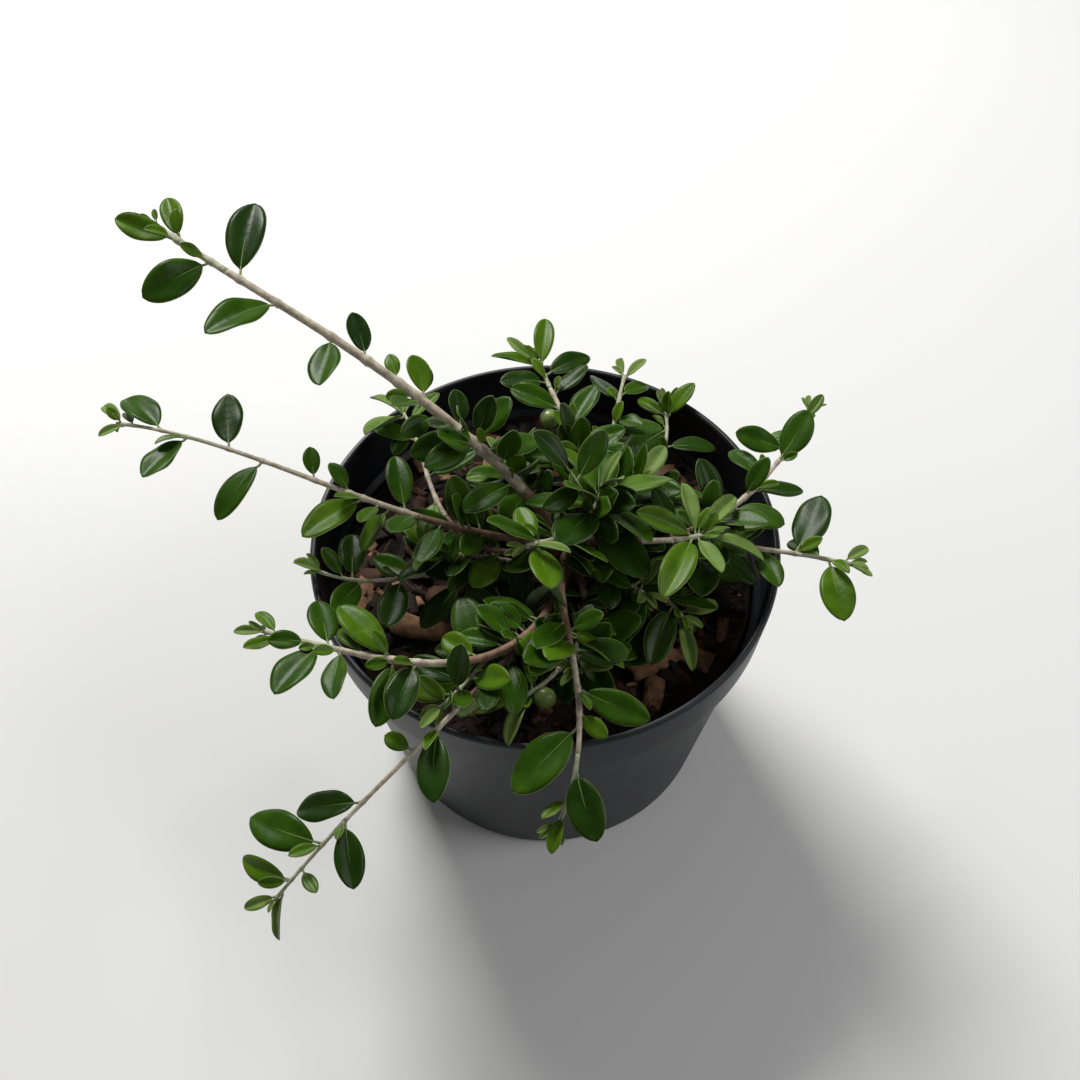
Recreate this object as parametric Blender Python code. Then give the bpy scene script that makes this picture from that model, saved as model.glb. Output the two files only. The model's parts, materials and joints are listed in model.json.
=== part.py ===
"""A young potted coral beauty cotoneaster: a round nursery pot filled with bark mix, a short
hidden trunk, arching boughs and the leafy sprays and tufts that they carry.

Metres, +Z up. The origin is the middle of the pot's flat underside. +Y is the back.
"""

import math
import random
from collections import namedtuple

import bmesh
import bpy
from mathutils import Matrix, Vector
from mathutils.bvhtree import BVHTree

# Gap that touching pieces keep
GAP = 0.0003

# Pot
POT_HEIGHT = 0.100
RIM_RADIUS = 0.070
RIM_WIDTH = 0.0022
COLLAR_HEIGHT = 0.0185
COLLAR_FOOT_RADIUS = 0.0683
BODY_TOP_RADIUS = 0.0656
FOOT_RADIUS = 0.0535
FOOT_ROUNDING = 0.0020
WALL = 0.0016
FLOOR = 0.0018
POT_SEGMENTS = 48
DRAIN_HOLES = 6
DRAIN_RADIUS = 0.0045
DRAIN_RING_RADIUS = 0.040

# Potting mix
SOIL_TOP = 0.082
SOIL_ROUGHNESS = 0.0012
SOIL_RINGS = 6
TRUNK_CLEARING = 0.011
CHIP_THICKNESS = 0.0022
CHIP_TILT = 4
CHIP_NARROWEST = 0.8
CHIP_COUNT = 20
CHIP_REACH = 0.053
CHIP_SEED = 7

# Large bark chips: x, y, length, width, and turn in degrees
PLANKS = ((-0.037, -0.021, 0.021, 0.007, -12), (-0.016, -0.013, 0.013, 0.006, 70),
          (0.031, -0.033, 0.017, 0.008, 35), (0.031, -0.043, 0.013, 0.006, 80),
          (0.044, -0.031, 0.012, 0.007, -30), (0.036, 0.036, 0.015, 0.007, 20))

# Trunk: places on its axis and radius there, from the flat cut at the soil to the blunt top
TRUNK_FOOT = Vector((0.009, -0.009, SOIL_TOP + GAP))
TRUNK_TOP = Vector((0.007, -0.006, 0.112))
TRUNK_PROFILE = ((0.0, 0.0064), (0.05, 0.0054), (0.14, 0.0046), (0.4, 0.0041), (0.8, 0.0036),
                 (0.95, 0.0029), (1.0, 0.0016))
TRUNK_CAP = 0.00001
TRUNK_SIDES = 14

# Limbs
BOUGH_SIDES = 6
BOUGH_SWELL = 1.45
STEM_SIDES = 4
STEM_TAPER = 0.55
TWIG_SIDES = 3
LIMB_STEP = 0.009

# Distances under which a joined mesh's points are merged, widest first
MERGE_STEPS = (0.00003, 0.00001, 0.000002, 0.0000001)

# Leaves
LEAF_THICKNESS = 0.0005
PETIOLE_SHARE = 0.12
PETIOLE_HALF_WIDTH = 0.00045
LEAF_ROWS = (0.0, 0.30, 0.72)
LEAF_CLEARANCE = 0.00045
SPIRAL_TURN = 137.5

# Sideways swing, rise and scale that a leaf tries, in turn, to stay clear of its neighbours
LEAF_TRIES = ((0, 0, 1.0), (0, 13, 1.0), (0, -13, 1.0), (13, 4, 0.96), (-13, 4, 0.96), (0, 26, 0.92),
              (15, 20, 0.9), (-15, 20, 0.9), (28, 10, 0.86), (-28, 10, 0.86), (0, 40, 0.84), (0, -26, 0.84))

# Side twigs of a tuft: radius at root, middle and tip, least and greatest length, and leaves
# as place along the twig and turn from it in degrees
TWIG_RADII = (0.00060, 0.00048, 0.00030)
TWIG_LENGTHS = (0.010, 0.014)
TWIG_LEAVES = ((0.50, 68), (0.72, -62), (0.96, 10))

# Fruit
BERRY_RADIUS = 0.0031
STALK_LENGTH = 0.0045
STALK_RADIUS = 0.0004

# A shoot is one limb: its foot's height on the trunk, the share of it that is bare bough, its tip,
# how far it arches up, how far it sways to the left at a third and at two thirds of its length, and
# its radius where its leaves begin. Leaves are marks (place along the limb, turn from it in degrees
# with + to the left, length), or spiral round it by the seed. Fruit are marks without a length.
Shoot = namedtuple("Shoot", "name height bare tip arch sway girth leaves fruit seed")
Whorl = namedtuple("Whorl", "count size twigs")

SHOOTS = (
    Shoot("high_left", 0.1060, 0.12, (-0.112, 0.067, 0.165), 0.0120, (-0.008, 0.007), 0.0016,
          ((0.14, 70, 0.019), (0.22, -130, 0.018), (0.24, 70, 0.019), (0.27, -35, 0.013), (0.37, 40, 0.009),
           (0.41, -42, 0.010), (0.48, -12, 0.017), (0.56, 110, 0.020), (0.68, 65, 0.025), (0.77, -60, 0.026),
           (0.84, 70, 0.022), (0.92, -24, 0.018), (0.93, 26, 0.018), (0.97, 5, 0.017)), (), 1),
    Shoot("far_left", 0.1054, 0.30, (-0.130, 0.035, 0.114), 0.0068, (0.019, -0.002), 0.0009,
          ((0.33, -60, 0.019), (0.42, 60, 0.022), (0.45, -28, 0.012), (0.53, -55, 0.011), (0.65, 75, 0.022),
           (0.73, -58, 0.020), (0.83, 72, 0.019), (0.89, -32, 0.021), (0.96, -50, 0.012), (0.975, 40, 0.009),
           (0.985, -6, 0.015)), (), 2),
    Shoot("mid_left", 0.0870, 0.52, (-0.066, -0.013, 0.103), 0.0020, (-0.018, 0.013), 0.0008,
          ((0.62, -40, 0.015), (0.68, 62, 0.017), (0.83, 60, 0.017), (0.87, -82, 0.016), (0.90, -28, 0.012),
           (0.97, 16, 0.011), (0.985, -10, 0.010)), (), 3),
    Shoot("rear_left", 0.1028, 0.45, (-0.044, 0.046, 0.104), 0.0021, (0.040, 0.007), 0.0008,
          ((0.55, 160, 0.017), (0.66, -80, 0.017), (0.76, -110, 0.016), (0.84, 60, 0.015), (0.91, 130, 0.011),
           (0.95, -70, 0.014), (0.985, 120, 0.024), (0.99, 20, 0.015)), (), 4),
    Shoot("front_left", 0.1017, 0.50, (-0.078, -0.039, 0.112), 0.0044, (0.051, 0.024), 0.0011,
          ((0.60, 70, 0.018), (0.66, 85, 0.019), (0.67, -40, 0.022), (0.74, -32, 0.013), (0.80, 100, 0.018),
           (0.83, -60, 0.017), (0.85, 72, 0.020), (0.88, 18, 0.012), (0.95, 50, 0.011), (0.96, -35, 0.011),
           (0.985, 8, 0.010)), (), 5),
    Shoot("trailing", 0.0937, 0.45, (-0.074, -0.103, 0.078), 0.0187, (0.018, 0.007), 0.0008,
          ((0.54, 40, 0.021), (0.61, -75, 0.010), (0.75, -40, 0.021), (0.80, 56, 0.018), (0.86, -60, 0.024),
           (0.92, 88, 0.009), (0.95, -60, 0.017), (0.975, 25, 0.014), (0.985, -10, 0.011)), (), 6),
    Shoot("front", 0.1047, 0.50, (0.002, -0.089, 0.091), 0.0142, (-0.009, 0.015), 0.0009,
          ((0.61, 58, 0.021), (0.68, 15, 0.012), (0.72, -46, 0.025), (0.84, 25, 0.020), (0.92, -22, 0.010),
           (0.96, 10, 0.012)), (), 7),
    Shoot("right", 0.0987, 0.46, (0.087, -0.018, 0.110), 0.0037, (0.006, 0.003), 0.0009,
          ((0.55, 60, 0.017), (0.66, -60, 0.017), (0.80, 72, 0.022), (0.90, 140, 0.015), (0.92, -72, 0.020),
           (0.97, 50, 0.010), (0.985, -20, 0.008)), (), 8),
    Shoot("upper_right", 0.1040, 0.40, (0.082, 0.039, 0.112), 0.0050, (-0.030, -0.019), 0.0009,
          ((0.50, -60, 0.016), (0.56, 12, 0.016), (0.60, -35, 0.016), (0.66, 75, 0.016), (0.74, -6, 0.020),
           (0.80, 105, 0.016), (0.88, 130, 0.009), (0.94, -12, 0.011), (0.985, 20, 0.007)), (), 9),
    Shoot("back", 0.1070, 0.30, (-0.001, 0.060, 0.112), 0.0040, (-0.014, -0.001), 0.0010,
          ((0.40, 80, 0.017), (0.44, -85, 0.016), (0.51, 120, 0.015), (0.54, -30, 0.019), (0.66, 52, 0.017),
           (0.76, -65, 0.015), (0.84, 75, 0.015), (0.89, -68, 0.018), (0.94, -16, 0.021), (0.96, 66, 0.016),
           (0.985, 40, 0.015)), ((0.62, 70),), 10),
    Shoot("back_right", 0.1000, 0.42, (0.026, 0.057, 0.108), 0.0040, (-0.006, -0.001), 0.0009,
          ((0.52, 75, 0.016), (0.59, 140, 0.014), (0.66, -80, 0.015), (0.72, -120, 0.011), (0.82, 32, 0.018),
           (0.86, -40, 0.012), (0.97, -8, 0.012), (0.985, 25, 0.009)), (), 11),
    Shoot("side_back", 0.0862, 0.55, (0.039, 0.052, 0.098), 0.0040, (-0.007, -0.014), 0.0008,
          ((0.70, 80, 0.016), (0.78, -75, 0.016), (0.88, 140, 0.020), (0.94, -52, 0.017), (0.95, 14, 0.015),
           (0.985, -30, 0.010)), (), 12),
    Shoot("low_right", 0.0940, 0.50, (0.039, -0.027, 0.098), 0.0040, (0.005, 0.005), 0.0008,
          ((0.66, 75, 0.015), (0.80, 20, 0.016), (0.90, -65, 0.020), (0.97, 70, 0.014), (0.985, -28, 0.017)),
          (), 13),
    Shoot("fore", 0.1060, 0.0, (-0.005, -0.025, 0.131), 0.0040, (0.002, 0.004), 0.0011,
          ((0.30, -75, 0.019), (0.50, 75, 0.018), (0.80, -28, 0.019), (0.86, 60, 0.019), (0.92, -110, 0.014),
           (0.98, 110, 0.017)), (), 14),
    Shoot("right_rosette", 0.1065, 0.55, (0.044, -0.013, 0.118), 0.0053, (-0.004, -0.008), 0.0010,
          ((0.80, 100, 0.016), (0.94, -130, 0.024), (0.955, 150, 0.022), (0.97, 85, 0.017),
           (0.975, -100, 0.018),
           (0.985, 30, 0.019), (0.985, -35, 0.020)), (), 15),
    Shoot("front_inner", 0.0972, 0.60, (-0.007, -0.055, 0.101), 0.0047, (0.012, 0.016), 0.0009,
          ((0.78, -95, 0.016), (0.90, 60, 0.013), (0.95, -120, 0.015), (0.97, 42, 0.016), (0.98, -75, 0.012),
           (0.985, -20, 0.015)), ((0.88, 50),), 16),
    Shoot("crown", 0.1100, 0.0, (0.016, -0.002, 0.124), 0.0030, (-0.006, -0.003), 0.0010,
          Whorl(12, 0.021, 1), (), 17),
    Shoot("front_knot", 0.0858, 0.0, (0.008, -0.046, 0.103), -0.0001, (0.003, 0.002), 0.0010,
          Whorl(12, 0.019, 2), (), 18),
    Shoot("inner_right", 0.0891, 0.0, (0.028, -0.022, 0.103), 0.0019, (0.000, 0.002), 0.0009,
          Whorl(11, 0.018, 2), (), 19),
    Shoot("inner_left", 0.0865, 0.0, (-0.020, -0.040, 0.094), 0.0028, (0.000, 0.000), 0.0008,
          Whorl(11, 0.017, 2), (), 20),
    Shoot("side_left", 0.0950, 0.0, (-0.034, -0.006, 0.101), 0.0030, (0.004, 0.000), 0.0008,
          Whorl(12, 0.019, 2), (), 21),
    Shoot("rear_tuft", 0.0980, 0.0, (-0.010, 0.020, 0.108), 0.0030, (0.000, 0.000), 0.0009,
          Whorl(12, 0.019, 2), (), 22),
    Shoot("rear_right", 0.0905, 0.0, (0.029, 0.018, 0.104), 0.0020, (0.000, 0.000), 0.0009,
          Whorl(12, 0.018, 2), (), 23),
    Shoot("far_right", 0.0911, 0.55, (0.056, -0.004, 0.101), 0.0023, (0.003, 0.000), 0.0008,
          Whorl(10, 0.018, 1), (), 24),
    Shoot("rim_left", 0.0896, 0.60, (-0.029, -0.059, 0.104), 0.0040, (-0.003, 0.003), 0.0008,
          Whorl(10, 0.017, 1), ((0.90, 80), (0.96, 120)), 25),
)

Leaf = namedtuple("Leaf", "root along face length width fold curl young stalk")


def clear_scene():
    for item in list(bpy.data.objects):
        bpy.data.objects.remove(item, do_unlink=True)


def material(name, colour, roughness, metallic=0.0):
    finish = bpy.data.materials.new(name)
    finish.use_nodes = True
    shader = finish.node_tree.nodes["Principled BSDF"]
    shader.inputs["Base Color"].default_value = (*colour, 1.0)
    shader.inputs["Roughness"].default_value = roughness
    shader.inputs["Metallic"].default_value = metallic
    finish.diffuse_color = (*colour, 1.0)
    return finish


def mesh_object(name, points, faces, finish=None):
    mesh = bpy.data.meshes.new(name)
    mesh.from_pydata(points, [], faces)
    piece = bpy.data.objects.new(name, mesh)
    bpy.context.scene.collection.objects.link(piece)
    if finish:
        mesh.materials.append(finish)
    return piece


def apply_boolean(piece, operation, cutter=None, collection=None, solver="EXACT"):
    """Apply one Boolean to the piece and keep its first material."""
    boolean = piece.modifiers.new(operation.lower(), "BOOLEAN")
    boolean.operation = operation
    boolean.solver = solver
    if collection:
        boolean.operand_type = "COLLECTION"
        boolean.collection = collection
    else:
        boolean.object = cutter
    depsgraph = bpy.context.evaluated_depsgraph_get()
    mesh = bpy.data.meshes.new_from_object(piece.evaluated_get(depsgraph))
    piece.modifiers.clear()
    old = piece.data
    piece.data = mesh
    bpy.data.meshes.remove(old)


def largest_body(mesh, merge):
    """Keep the largest body of a mesh, merge its closest points and cut it into triangles."""
    work = bmesh.new()
    work.from_mesh(mesh)
    bmesh.ops.remove_doubles(work, verts=work.verts, dist=merge)
    bmesh.ops.dissolve_degenerate(work, edges=work.edges, dist=merge)
    bmesh.ops.triangulate(work, faces=work.faces)
    waiting = set(work.faces)
    bodies = []
    while waiting:
        body = set()
        front = [waiting.pop()]
        while front:
            face = front.pop()
            body.add(face)
            beside = {other for edge in face.edges for other in edge.link_faces} & waiting
            waiting -= beside
            front.extend(beside)
        bodies.append(body)
    bodies.sort(key=len)
    scrap = [face for body in bodies[:-1] for face in body]
    bmesh.ops.delete(work, geom=scrap, context="FACES")
    closed = all(edge.is_manifold for edge in work.edges)
    if closed:
        work.to_mesh(mesh)
    work.free()
    return closed


def cleaned(mesh):
    """Clean a joined mesh with the widest merging of points that leaves it closed."""
    return any(largest_body(mesh, merge) for merge in MERGE_STEPS)


# Pot and potting mix

def pot_profile():
    """Outline of the pot's wall, from the middle of its underside round to the middle of its floor."""
    collar_foot = POT_HEIGHT - COLLAR_HEIGHT
    collar_inside = COLLAR_FOOT_RADIUS - RIM_WIDTH
    outline = [(FOOT_RADIUS - FOOT_ROUNDING, 0.0)]
    for step in (0.5, 1.0):
        angle = step * math.pi / 2
        outline.append((FOOT_RADIUS - FOOT_ROUNDING + FOOT_ROUNDING * math.sin(angle),
                        FOOT_ROUNDING - FOOT_ROUNDING * math.cos(angle)))
    outline += [
        (BODY_TOP_RADIUS, collar_foot),
        (COLLAR_FOOT_RADIUS, collar_foot + 0.0008),
        (RIM_RADIUS, POT_HEIGHT - 0.0010),
        (RIM_RADIUS - 0.0007, POT_HEIGHT),
        (RIM_RADIUS - RIM_WIDTH + 0.0005, POT_HEIGHT),
        (RIM_RADIUS - RIM_WIDTH, POT_HEIGHT - 0.0008),
        (collar_inside, collar_foot + 0.0010),
        (BODY_TOP_RADIUS - WALL, collar_foot - 0.0010),
        (FOOT_RADIUS - WALL, FLOOR + 0.0010),
        (FOOT_RADIUS - WALL - 0.0012, FLOOR),
    ]
    return outline


def turned(name, outline, segments, finish):
    """Closed solid turned from an outline that runs from the bottom's middle round to the top's middle."""
    points = []
    faces = []
    for radius, height in outline:
        for k in range(segments):
            angle = 2 * math.pi * k / segments
            points.append((radius * math.cos(angle), radius * math.sin(angle), height))
    for ring in range(len(outline) - 1):
        for k in range(segments):
            a = ring * segments + k
            b = ring * segments + (k + 1) % segments
            faces.append((a, b, b + segments, a + segments))
    faces.append(tuple(reversed(range(segments))))
    last = (len(outline) - 1) * segments
    faces.append(tuple(range(last, last + segments)))
    return mesh_object(name, points, faces, finish)


def make_pot():
    finish = material("pot_plastic", (0.035, 0.037, 0.042), 0.5)
    pot = turned("pot", pot_profile(), POT_SEGMENTS, finish)
    for k in range(DRAIN_HOLES):
        angle = 2 * math.pi * (k + 0.5) / DRAIN_HOLES
        bpy.ops.mesh.primitive_cylinder_add(vertices=12, radius=DRAIN_RADIUS, depth=4 * FLOOR, location=(
            DRAIN_RING_RADIUS * math.cos(angle), DRAIN_RING_RADIUS * math.sin(angle), FLOOR / 2))
        drill = bpy.context.object
        apply_boolean(pot, "DIFFERENCE", cutter=drill)
        bpy.data.objects.remove(drill, do_unlink=True)
    pot.data.shade_smooth()
    pot.data.set_sharp_from_angle(angle=math.radians(35))
    return pot


def soil_height(x, y):
    """Uneven surface of the mix, level under the trunk."""
    wave = math.sin(x * 310 + 0.7) * math.cos(y * 270 - 0.4) + 0.6 * math.sin(x * 140 - y * 190)
    away = math.hypot(x - TRUNK_FOOT.x, y - TRUNK_FOOT.y)
    ease = min(1.0, max(0.0, (away - TRUNK_CLEARING) / 0.012))
    return SOIL_TOP + SOIL_ROUGHNESS * wave * ease


def chip_shell(rng, x, y, length, width, turn):
    """Points and faces of one bark chip, a slightly tapered slab that lies half sunk in the mix."""
    tilt = math.radians(rng.uniform(-CHIP_TILT, CHIP_TILT))
    lean = Matrix.Rotation(math.radians(turn), 3, "Z") @ Matrix.Rotation(tilt, 3, "Y")
    centre = Vector((x, y, soil_height(x, y) + 0.0001))
    points = []
    for level in (-1, 1):
        for end, side in ((-1, -1), (1, -1), (1, 1), (-1, 1)):
            along = end * length / 2 * rng.uniform(CHIP_NARROWEST, 1.0)
            across = side * width / 2 * (1 - 0.1 * level) * rng.uniform(CHIP_NARROWEST, 1.0)
            points.append(centre + lean @ Vector((along, across, level * CHIP_THICKNESS / 2)))
    faces = [(3, 2, 1, 0), (4, 5, 6, 7), (0, 1, 5, 4), (1, 2, 6, 5), (2, 3, 7, 6), (3, 0, 4, 7)]
    return points, faces


def chip_shells():
    """The large chips and smaller ones strewn between them, clear of the trunk."""
    rng = random.Random(CHIP_SEED)
    shells = [chip_shell(rng, *plank) for plank in PLANKS]
    for k in range(CHIP_COUNT):
        spot = Vector((CHIP_REACH, 0.0)) * math.sqrt((k + 0.5) / CHIP_COUNT)
        spot.rotate(Matrix.Rotation(math.radians(SPIRAL_TURN * k), 2))
        length = rng.uniform(0.006, 0.011)
        far = (spot - TRUNK_FOOT.xy).length > TRUNK_CLEARING + length / 2
        if far and all((spot - Vector(plank[:2])).length > plank[2] / 2 for plank in PLANKS):
            shells.append(chip_shell(rng, spot.x, spot.y, length, length * rng.uniform(0.35, 0.6),
                                     rng.uniform(0, 180)))
    return shells


def make_mix():
    finish = material("bark_mix", (0.060, 0.033, 0.020), 0.95)
    segments = POT_SEGMENTS
    inner_foot = FOOT_RADIUS - WALL - GAP
    slope = (BODY_TOP_RADIUS - FOOT_RADIUS) / (POT_HEIGHT - COLLAR_HEIGHT)
    edge_radius = inner_foot + slope * (SOIL_TOP - 0.004 - FLOOR) - GAP
    shade = math.cos(math.pi / segments)
    rings = [(inner_foot * shade - 0.0014, FLOOR + GAP), (inner_foot * shade - GAP, FLOOR + GAP + 0.0014),
             (edge_radius * shade, SOIL_TOP - 0.004)]
    turns = [2 * math.pi * k / segments for k in range(segments)]
    points = [(radius * math.cos(turn), radius * math.sin(turn), height)
              for radius, height in rings for turn in turns]
    for ring in range(SOIL_RINGS):
        radius = edge_radius * shade * (1 - ring / SOIL_RINGS) - (0.0006 if ring == 0 else 0.0)
        for turn in turns:
            x = radius * math.cos(turn)
            y = radius * math.sin(turn)
            points.append((x, y, soil_height(x, y)))
    points.append((0, 0, soil_height(0, 0)))
    faces = [tuple(reversed(range(segments)))]
    for ring in range(len(rings) + SOIL_RINGS - 1):
        for k in range(segments):
            a = ring * segments + k
            b = ring * segments + (k + 1) % segments
            faces.append((a, b, b + segments, a + segments))
    last = (len(rings) + SOIL_RINGS - 1) * segments
    for k in range(segments):
        faces.append((last + k, last + (k + 1) % segments, len(points) - 1))
    mix = mesh_object("potting_mix", points, faces, finish)
    fuse(mix, chip_shells(), "MANIFOLD")
    return mix


# Trunk and limbs

def trunk_point(height):
    return TRUNK_FOOT.lerp(TRUNK_TOP, (height - TRUNK_FOOT.z) / (TRUNK_TOP.z - TRUNK_FOOT.z))


def tube(stations, sides):
    """Points and faces of a closed tube through (centre, radius, direction) stations."""
    points = []
    faces = []
    side = None
    for centre, radius, ahead in stations:
        if side is None:
            side = ahead.orthogonal().normalized()
        side = (side - ahead * side.dot(ahead)).normalized()
        other = ahead.cross(side)
        for s in range(sides):
            angle = 2 * math.pi * s / sides
            points.append(centre + (side * math.cos(angle) + other * math.sin(angle)) * radius)
    for ring in range(len(stations) - 1):
        for s in range(sides):
            a = ring * sides + s
            b = ring * sides + (s + 1) % sides
            faces.append((a, b, b + sides, a + sides))
    faces.append(tuple(reversed(range(sides))))
    last = (len(stations) - 1) * sides
    faces.append(tuple(range(last, last + sides)))
    return points, faces


def trunk_tube(grow=0.0):
    up = Vector((0, 0, 1))
    stations = [(TRUNK_FOOT.lerp(TRUNK_TOP, place), radius + grow, up) for place, radius in TRUNK_PROFILE]
    stations.append((TRUNK_TOP + up * (grow + TRUNK_CAP), TRUNK_PROFILE[-1][1] + grow, up))
    return tube(stations, TRUNK_SIDES)


def limb_point(shoot, t):
    """Point at share t of a limb, on one cubic curve from the trunk's axis to the limb's tip."""
    foot = trunk_point(shoot.height)
    tip = Vector(shoot.tip)
    reach = tip - foot
    left = Vector((-reach.y, reach.x, 0.0)).normalized()
    lift = Vector((0, 0, shoot.arch * 4 / 3))
    first = foot + reach / 3 + lift + left * shoot.sway[0]
    second = foot + reach * 2 / 3 + lift + left * shoot.sway[1]
    u = 1 - t
    return foot * u ** 3 + first * 3 * t * u ** 2 + second * 3 * t ** 2 * u + tip * t ** 3


def limb_frame(shoot, t):
    """Point on a limb, with the directions along it, up from it and to its left."""
    along = (limb_point(shoot, t + 0.01) - limb_point(shoot, t - 0.01)).normalized()
    up = Vector((0, 0, 1)) - along * along.z
    if up.length < 0.4:
        up = Vector((0, 1, 0)) - along * along.y
    up.normalize()
    return limb_point(shoot, t), along, up, up.cross(along)


def limb_stations(shoot, start, end, radius_start, radius_end):
    length = (limb_point(shoot, end) - limb_point(shoot, start)).length
    steps = max(2, round(length / LIMB_STEP))
    stations = []
    for k in range(steps + 1):
        share = k / steps
        point, along, up, left = limb_frame(shoot, start + (end - start) * share)
        stations.append((point, radius_start + (radius_end - radius_start) * share, along))
    return stations


def half_width(s):
    """Half of a blade's width at share s of its length, as a share of its full width."""
    return 0.5 * (max(s, 0.0) ** 0.72 * max(1 - s, 0.0) ** 0.66) / 0.3841


def leaf_row(leaf, s, grow=0.0):
    """Left edge, crest, right edge and keel of a leaf at share s of its blade; s = -1 is its root."""
    across = leaf.along.cross(leaf.face)
    petiole = leaf.stalk
    blade = leaf.length - petiole
    if s <= 0:
        centre = leaf.root + leaf.along * petiole * (1 + s)
        face = leaf.face
        edge = PETIOLE_HALF_WIDTH + grow
        rise = 0.0
    else:
        bend = leaf.curl * s
        centre = (leaf.root + leaf.along * (petiole + s * blade * math.cos(bend / 2))
                  - leaf.face * (s * blade * math.sin(bend / 2)))
        face = leaf.face * math.cos(bend) + leaf.along * math.sin(bend)
        edge = max(PETIOLE_HALF_WIDTH, half_width(s) * leaf.width) + grow
        rise = edge * math.sin(leaf.fold)
        edge *= math.cos(leaf.fold)
    half = LEAF_THICKNESS / 2 + grow
    return (centre - across * edge + face * rise, centre + face * half,
            centre + across * edge + face * rise, centre - face * half)


def leaf_shell(leaf, grow=0.0, from_root=True):
    """Points and faces of one closed leaf."""
    places = ((-1.0,) if from_root else ()) + LEAF_ROWS
    points = []
    for s in places:
        points.extend(leaf_row(leaf, s, grow))
    row = leaf_row(leaf, 1.0)
    points.append((row[1] + row[3]) / 2 + leaf.along * grow)
    faces = []
    for ring in range(len(places) - 1):
        for k in range(4):
            a = ring * 4 + k
            b = ring * 4 + (k + 1) % 4
            faces.append((a, b, b + 4, a + 4))
    last = (len(places) - 1) * 4
    for k in range(4):
        faces.append((last + k, last + (k + 1) % 4, len(points) - 1))
    faces.append((3, 2, 1, 0))
    return points, faces


def grown_leaf(rng, origin, frame, around, cone, length, young, spread, girth=0.0):
    """A leaf that leaves its stem at a cone angle, in the direction that around gives about the stem."""
    along, up, left = frame
    around = math.radians(around)
    cone = math.radians(cone)
    outward = left * math.cos(around) + up * math.sin(around)
    direction = along * math.cos(cone) + outward * math.sin(cone)
    face = (along if spread else up) + Vector((0, 0, 0.6))
    face = (face - direction * face.dot(direction)).normalized()
    face = Matrix.Rotation(math.radians(rng.gauss(0, 13)), 3, direction) @ face
    width = length * rng.uniform(0.42, 0.53) * (1 - 0.25 * young)
    fold = math.radians(rng.uniform(10, 26) + 30 * young)
    stalk = max(PETIOLE_SHARE * length, girth * 1.2 + 0.0008)
    return Leaf(origin, direction, face, length, width, fold, rng.uniform(-0.1, 0.5), young, stalk)


def marked_leaves(shoot, rng):
    """Leaves at a shoot's own marks, in two ranks along it."""
    leaves = []
    for place, turn, length in shoot.leaves:
        point, along, up, left = limb_frame(shoot, place)
        lean = rng.uniform(-6, 18)
        around = lean if turn > 0 else 180 - lean
        young = max(0.0, (place - 0.9) / 0.1)
        leaves.append(grown_leaf(rng, point, (along, up, left), around, abs(turn), length, young, False,
                                 shoot.girth))
    return leaves


def whorled_leaves(shoot, rng):
    """Leaves that spiral round the upper part of a tuft, wide at its foot and closing at its tip."""
    whorl = shoot.leaves
    leaves = []
    spin = rng.uniform(0, 360)
    start = max(shoot.bare + 0.12, 0.45)
    for k in range(whorl.count):
        share = k / (whorl.count - 1)
        place = start + (0.985 - start) * share ** 0.7
        point, along, up, left = limb_frame(shoot, place)
        along = (along + Vector((0, 0, 1.4))).normalized()
        left = (left - along * left.dot(along)).normalized()
        up = along.cross(left)
        length = whorl.size * (1.1 - 0.4 * share ** 2) * rng.uniform(0.85, 1.15)
        cone = 84 - 50 * share ** 2 + rng.uniform(-8, 8)
        young = max(0.0, (share - 0.75) / 0.25)
        around = spin + SPIRAL_TURN * k
        leaves.append(grown_leaf(rng, point, (along, up, left), around, cone, length, young, True, shoot.girth))
    return leaves


class Neighbours:
    """All pieces placed so far, asked whether a new one would touch them."""

    def __init__(self):
        self.pieces = []

    def add(self, owner, points, faces):
        low = Vector([min(p[axis] for p in points) for axis in range(3)])
        high = Vector([max(p[axis] for p in points) for axis in range(3)])
        self.pieces.append((owner, low, high, BVHTree.FromPolygons(points, faces)))

    def touch(self, points, faces, apart_from=()):
        low = Vector([min(p[axis] for p in points) for axis in range(3)])
        high = Vector([max(p[axis] for p in points) for axis in range(3)])
        tree = None
        for owner, other_low, other_high, other_tree in self.pieces:
            if owner in apart_from:
                continue
            if any(low[axis] > other_high[axis] or high[axis] < other_low[axis] for axis in range(3)):
                continue
            if tree is None:
                tree = BVHTree.FromPolygons(points, faces)
            if tree.overlap(other_tree):
                return True
        return False


def swung_leaf(leaf, swing, rise, scale):
    across = leaf.along.cross(leaf.face)
    turn = Matrix.Rotation(math.radians(swing), 3, leaf.face) @ Matrix.Rotation(math.radians(rise), 3, across)
    return leaf._replace(along=turn @ leaf.along, face=turn @ leaf.face, length=leaf.length * scale,
                         width=leaf.width * scale)


def clear_leaf(leaf, owner, neighbours):
    """The leaf, or the first of its tries, that touches nothing; None where all of them touch."""
    for swing, rise, scale in LEAF_TRIES:
        trial = swung_leaf(leaf, swing, rise, scale)
        if neighbours.touch(*leaf_shell(trial, LEAF_CLEARANCE, from_root=False)):
            continue
        if neighbours.touch(*leaf_shell(trial, LEAF_CLEARANCE), apart_from=(owner,)):
            continue
        return trial
    return None


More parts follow.
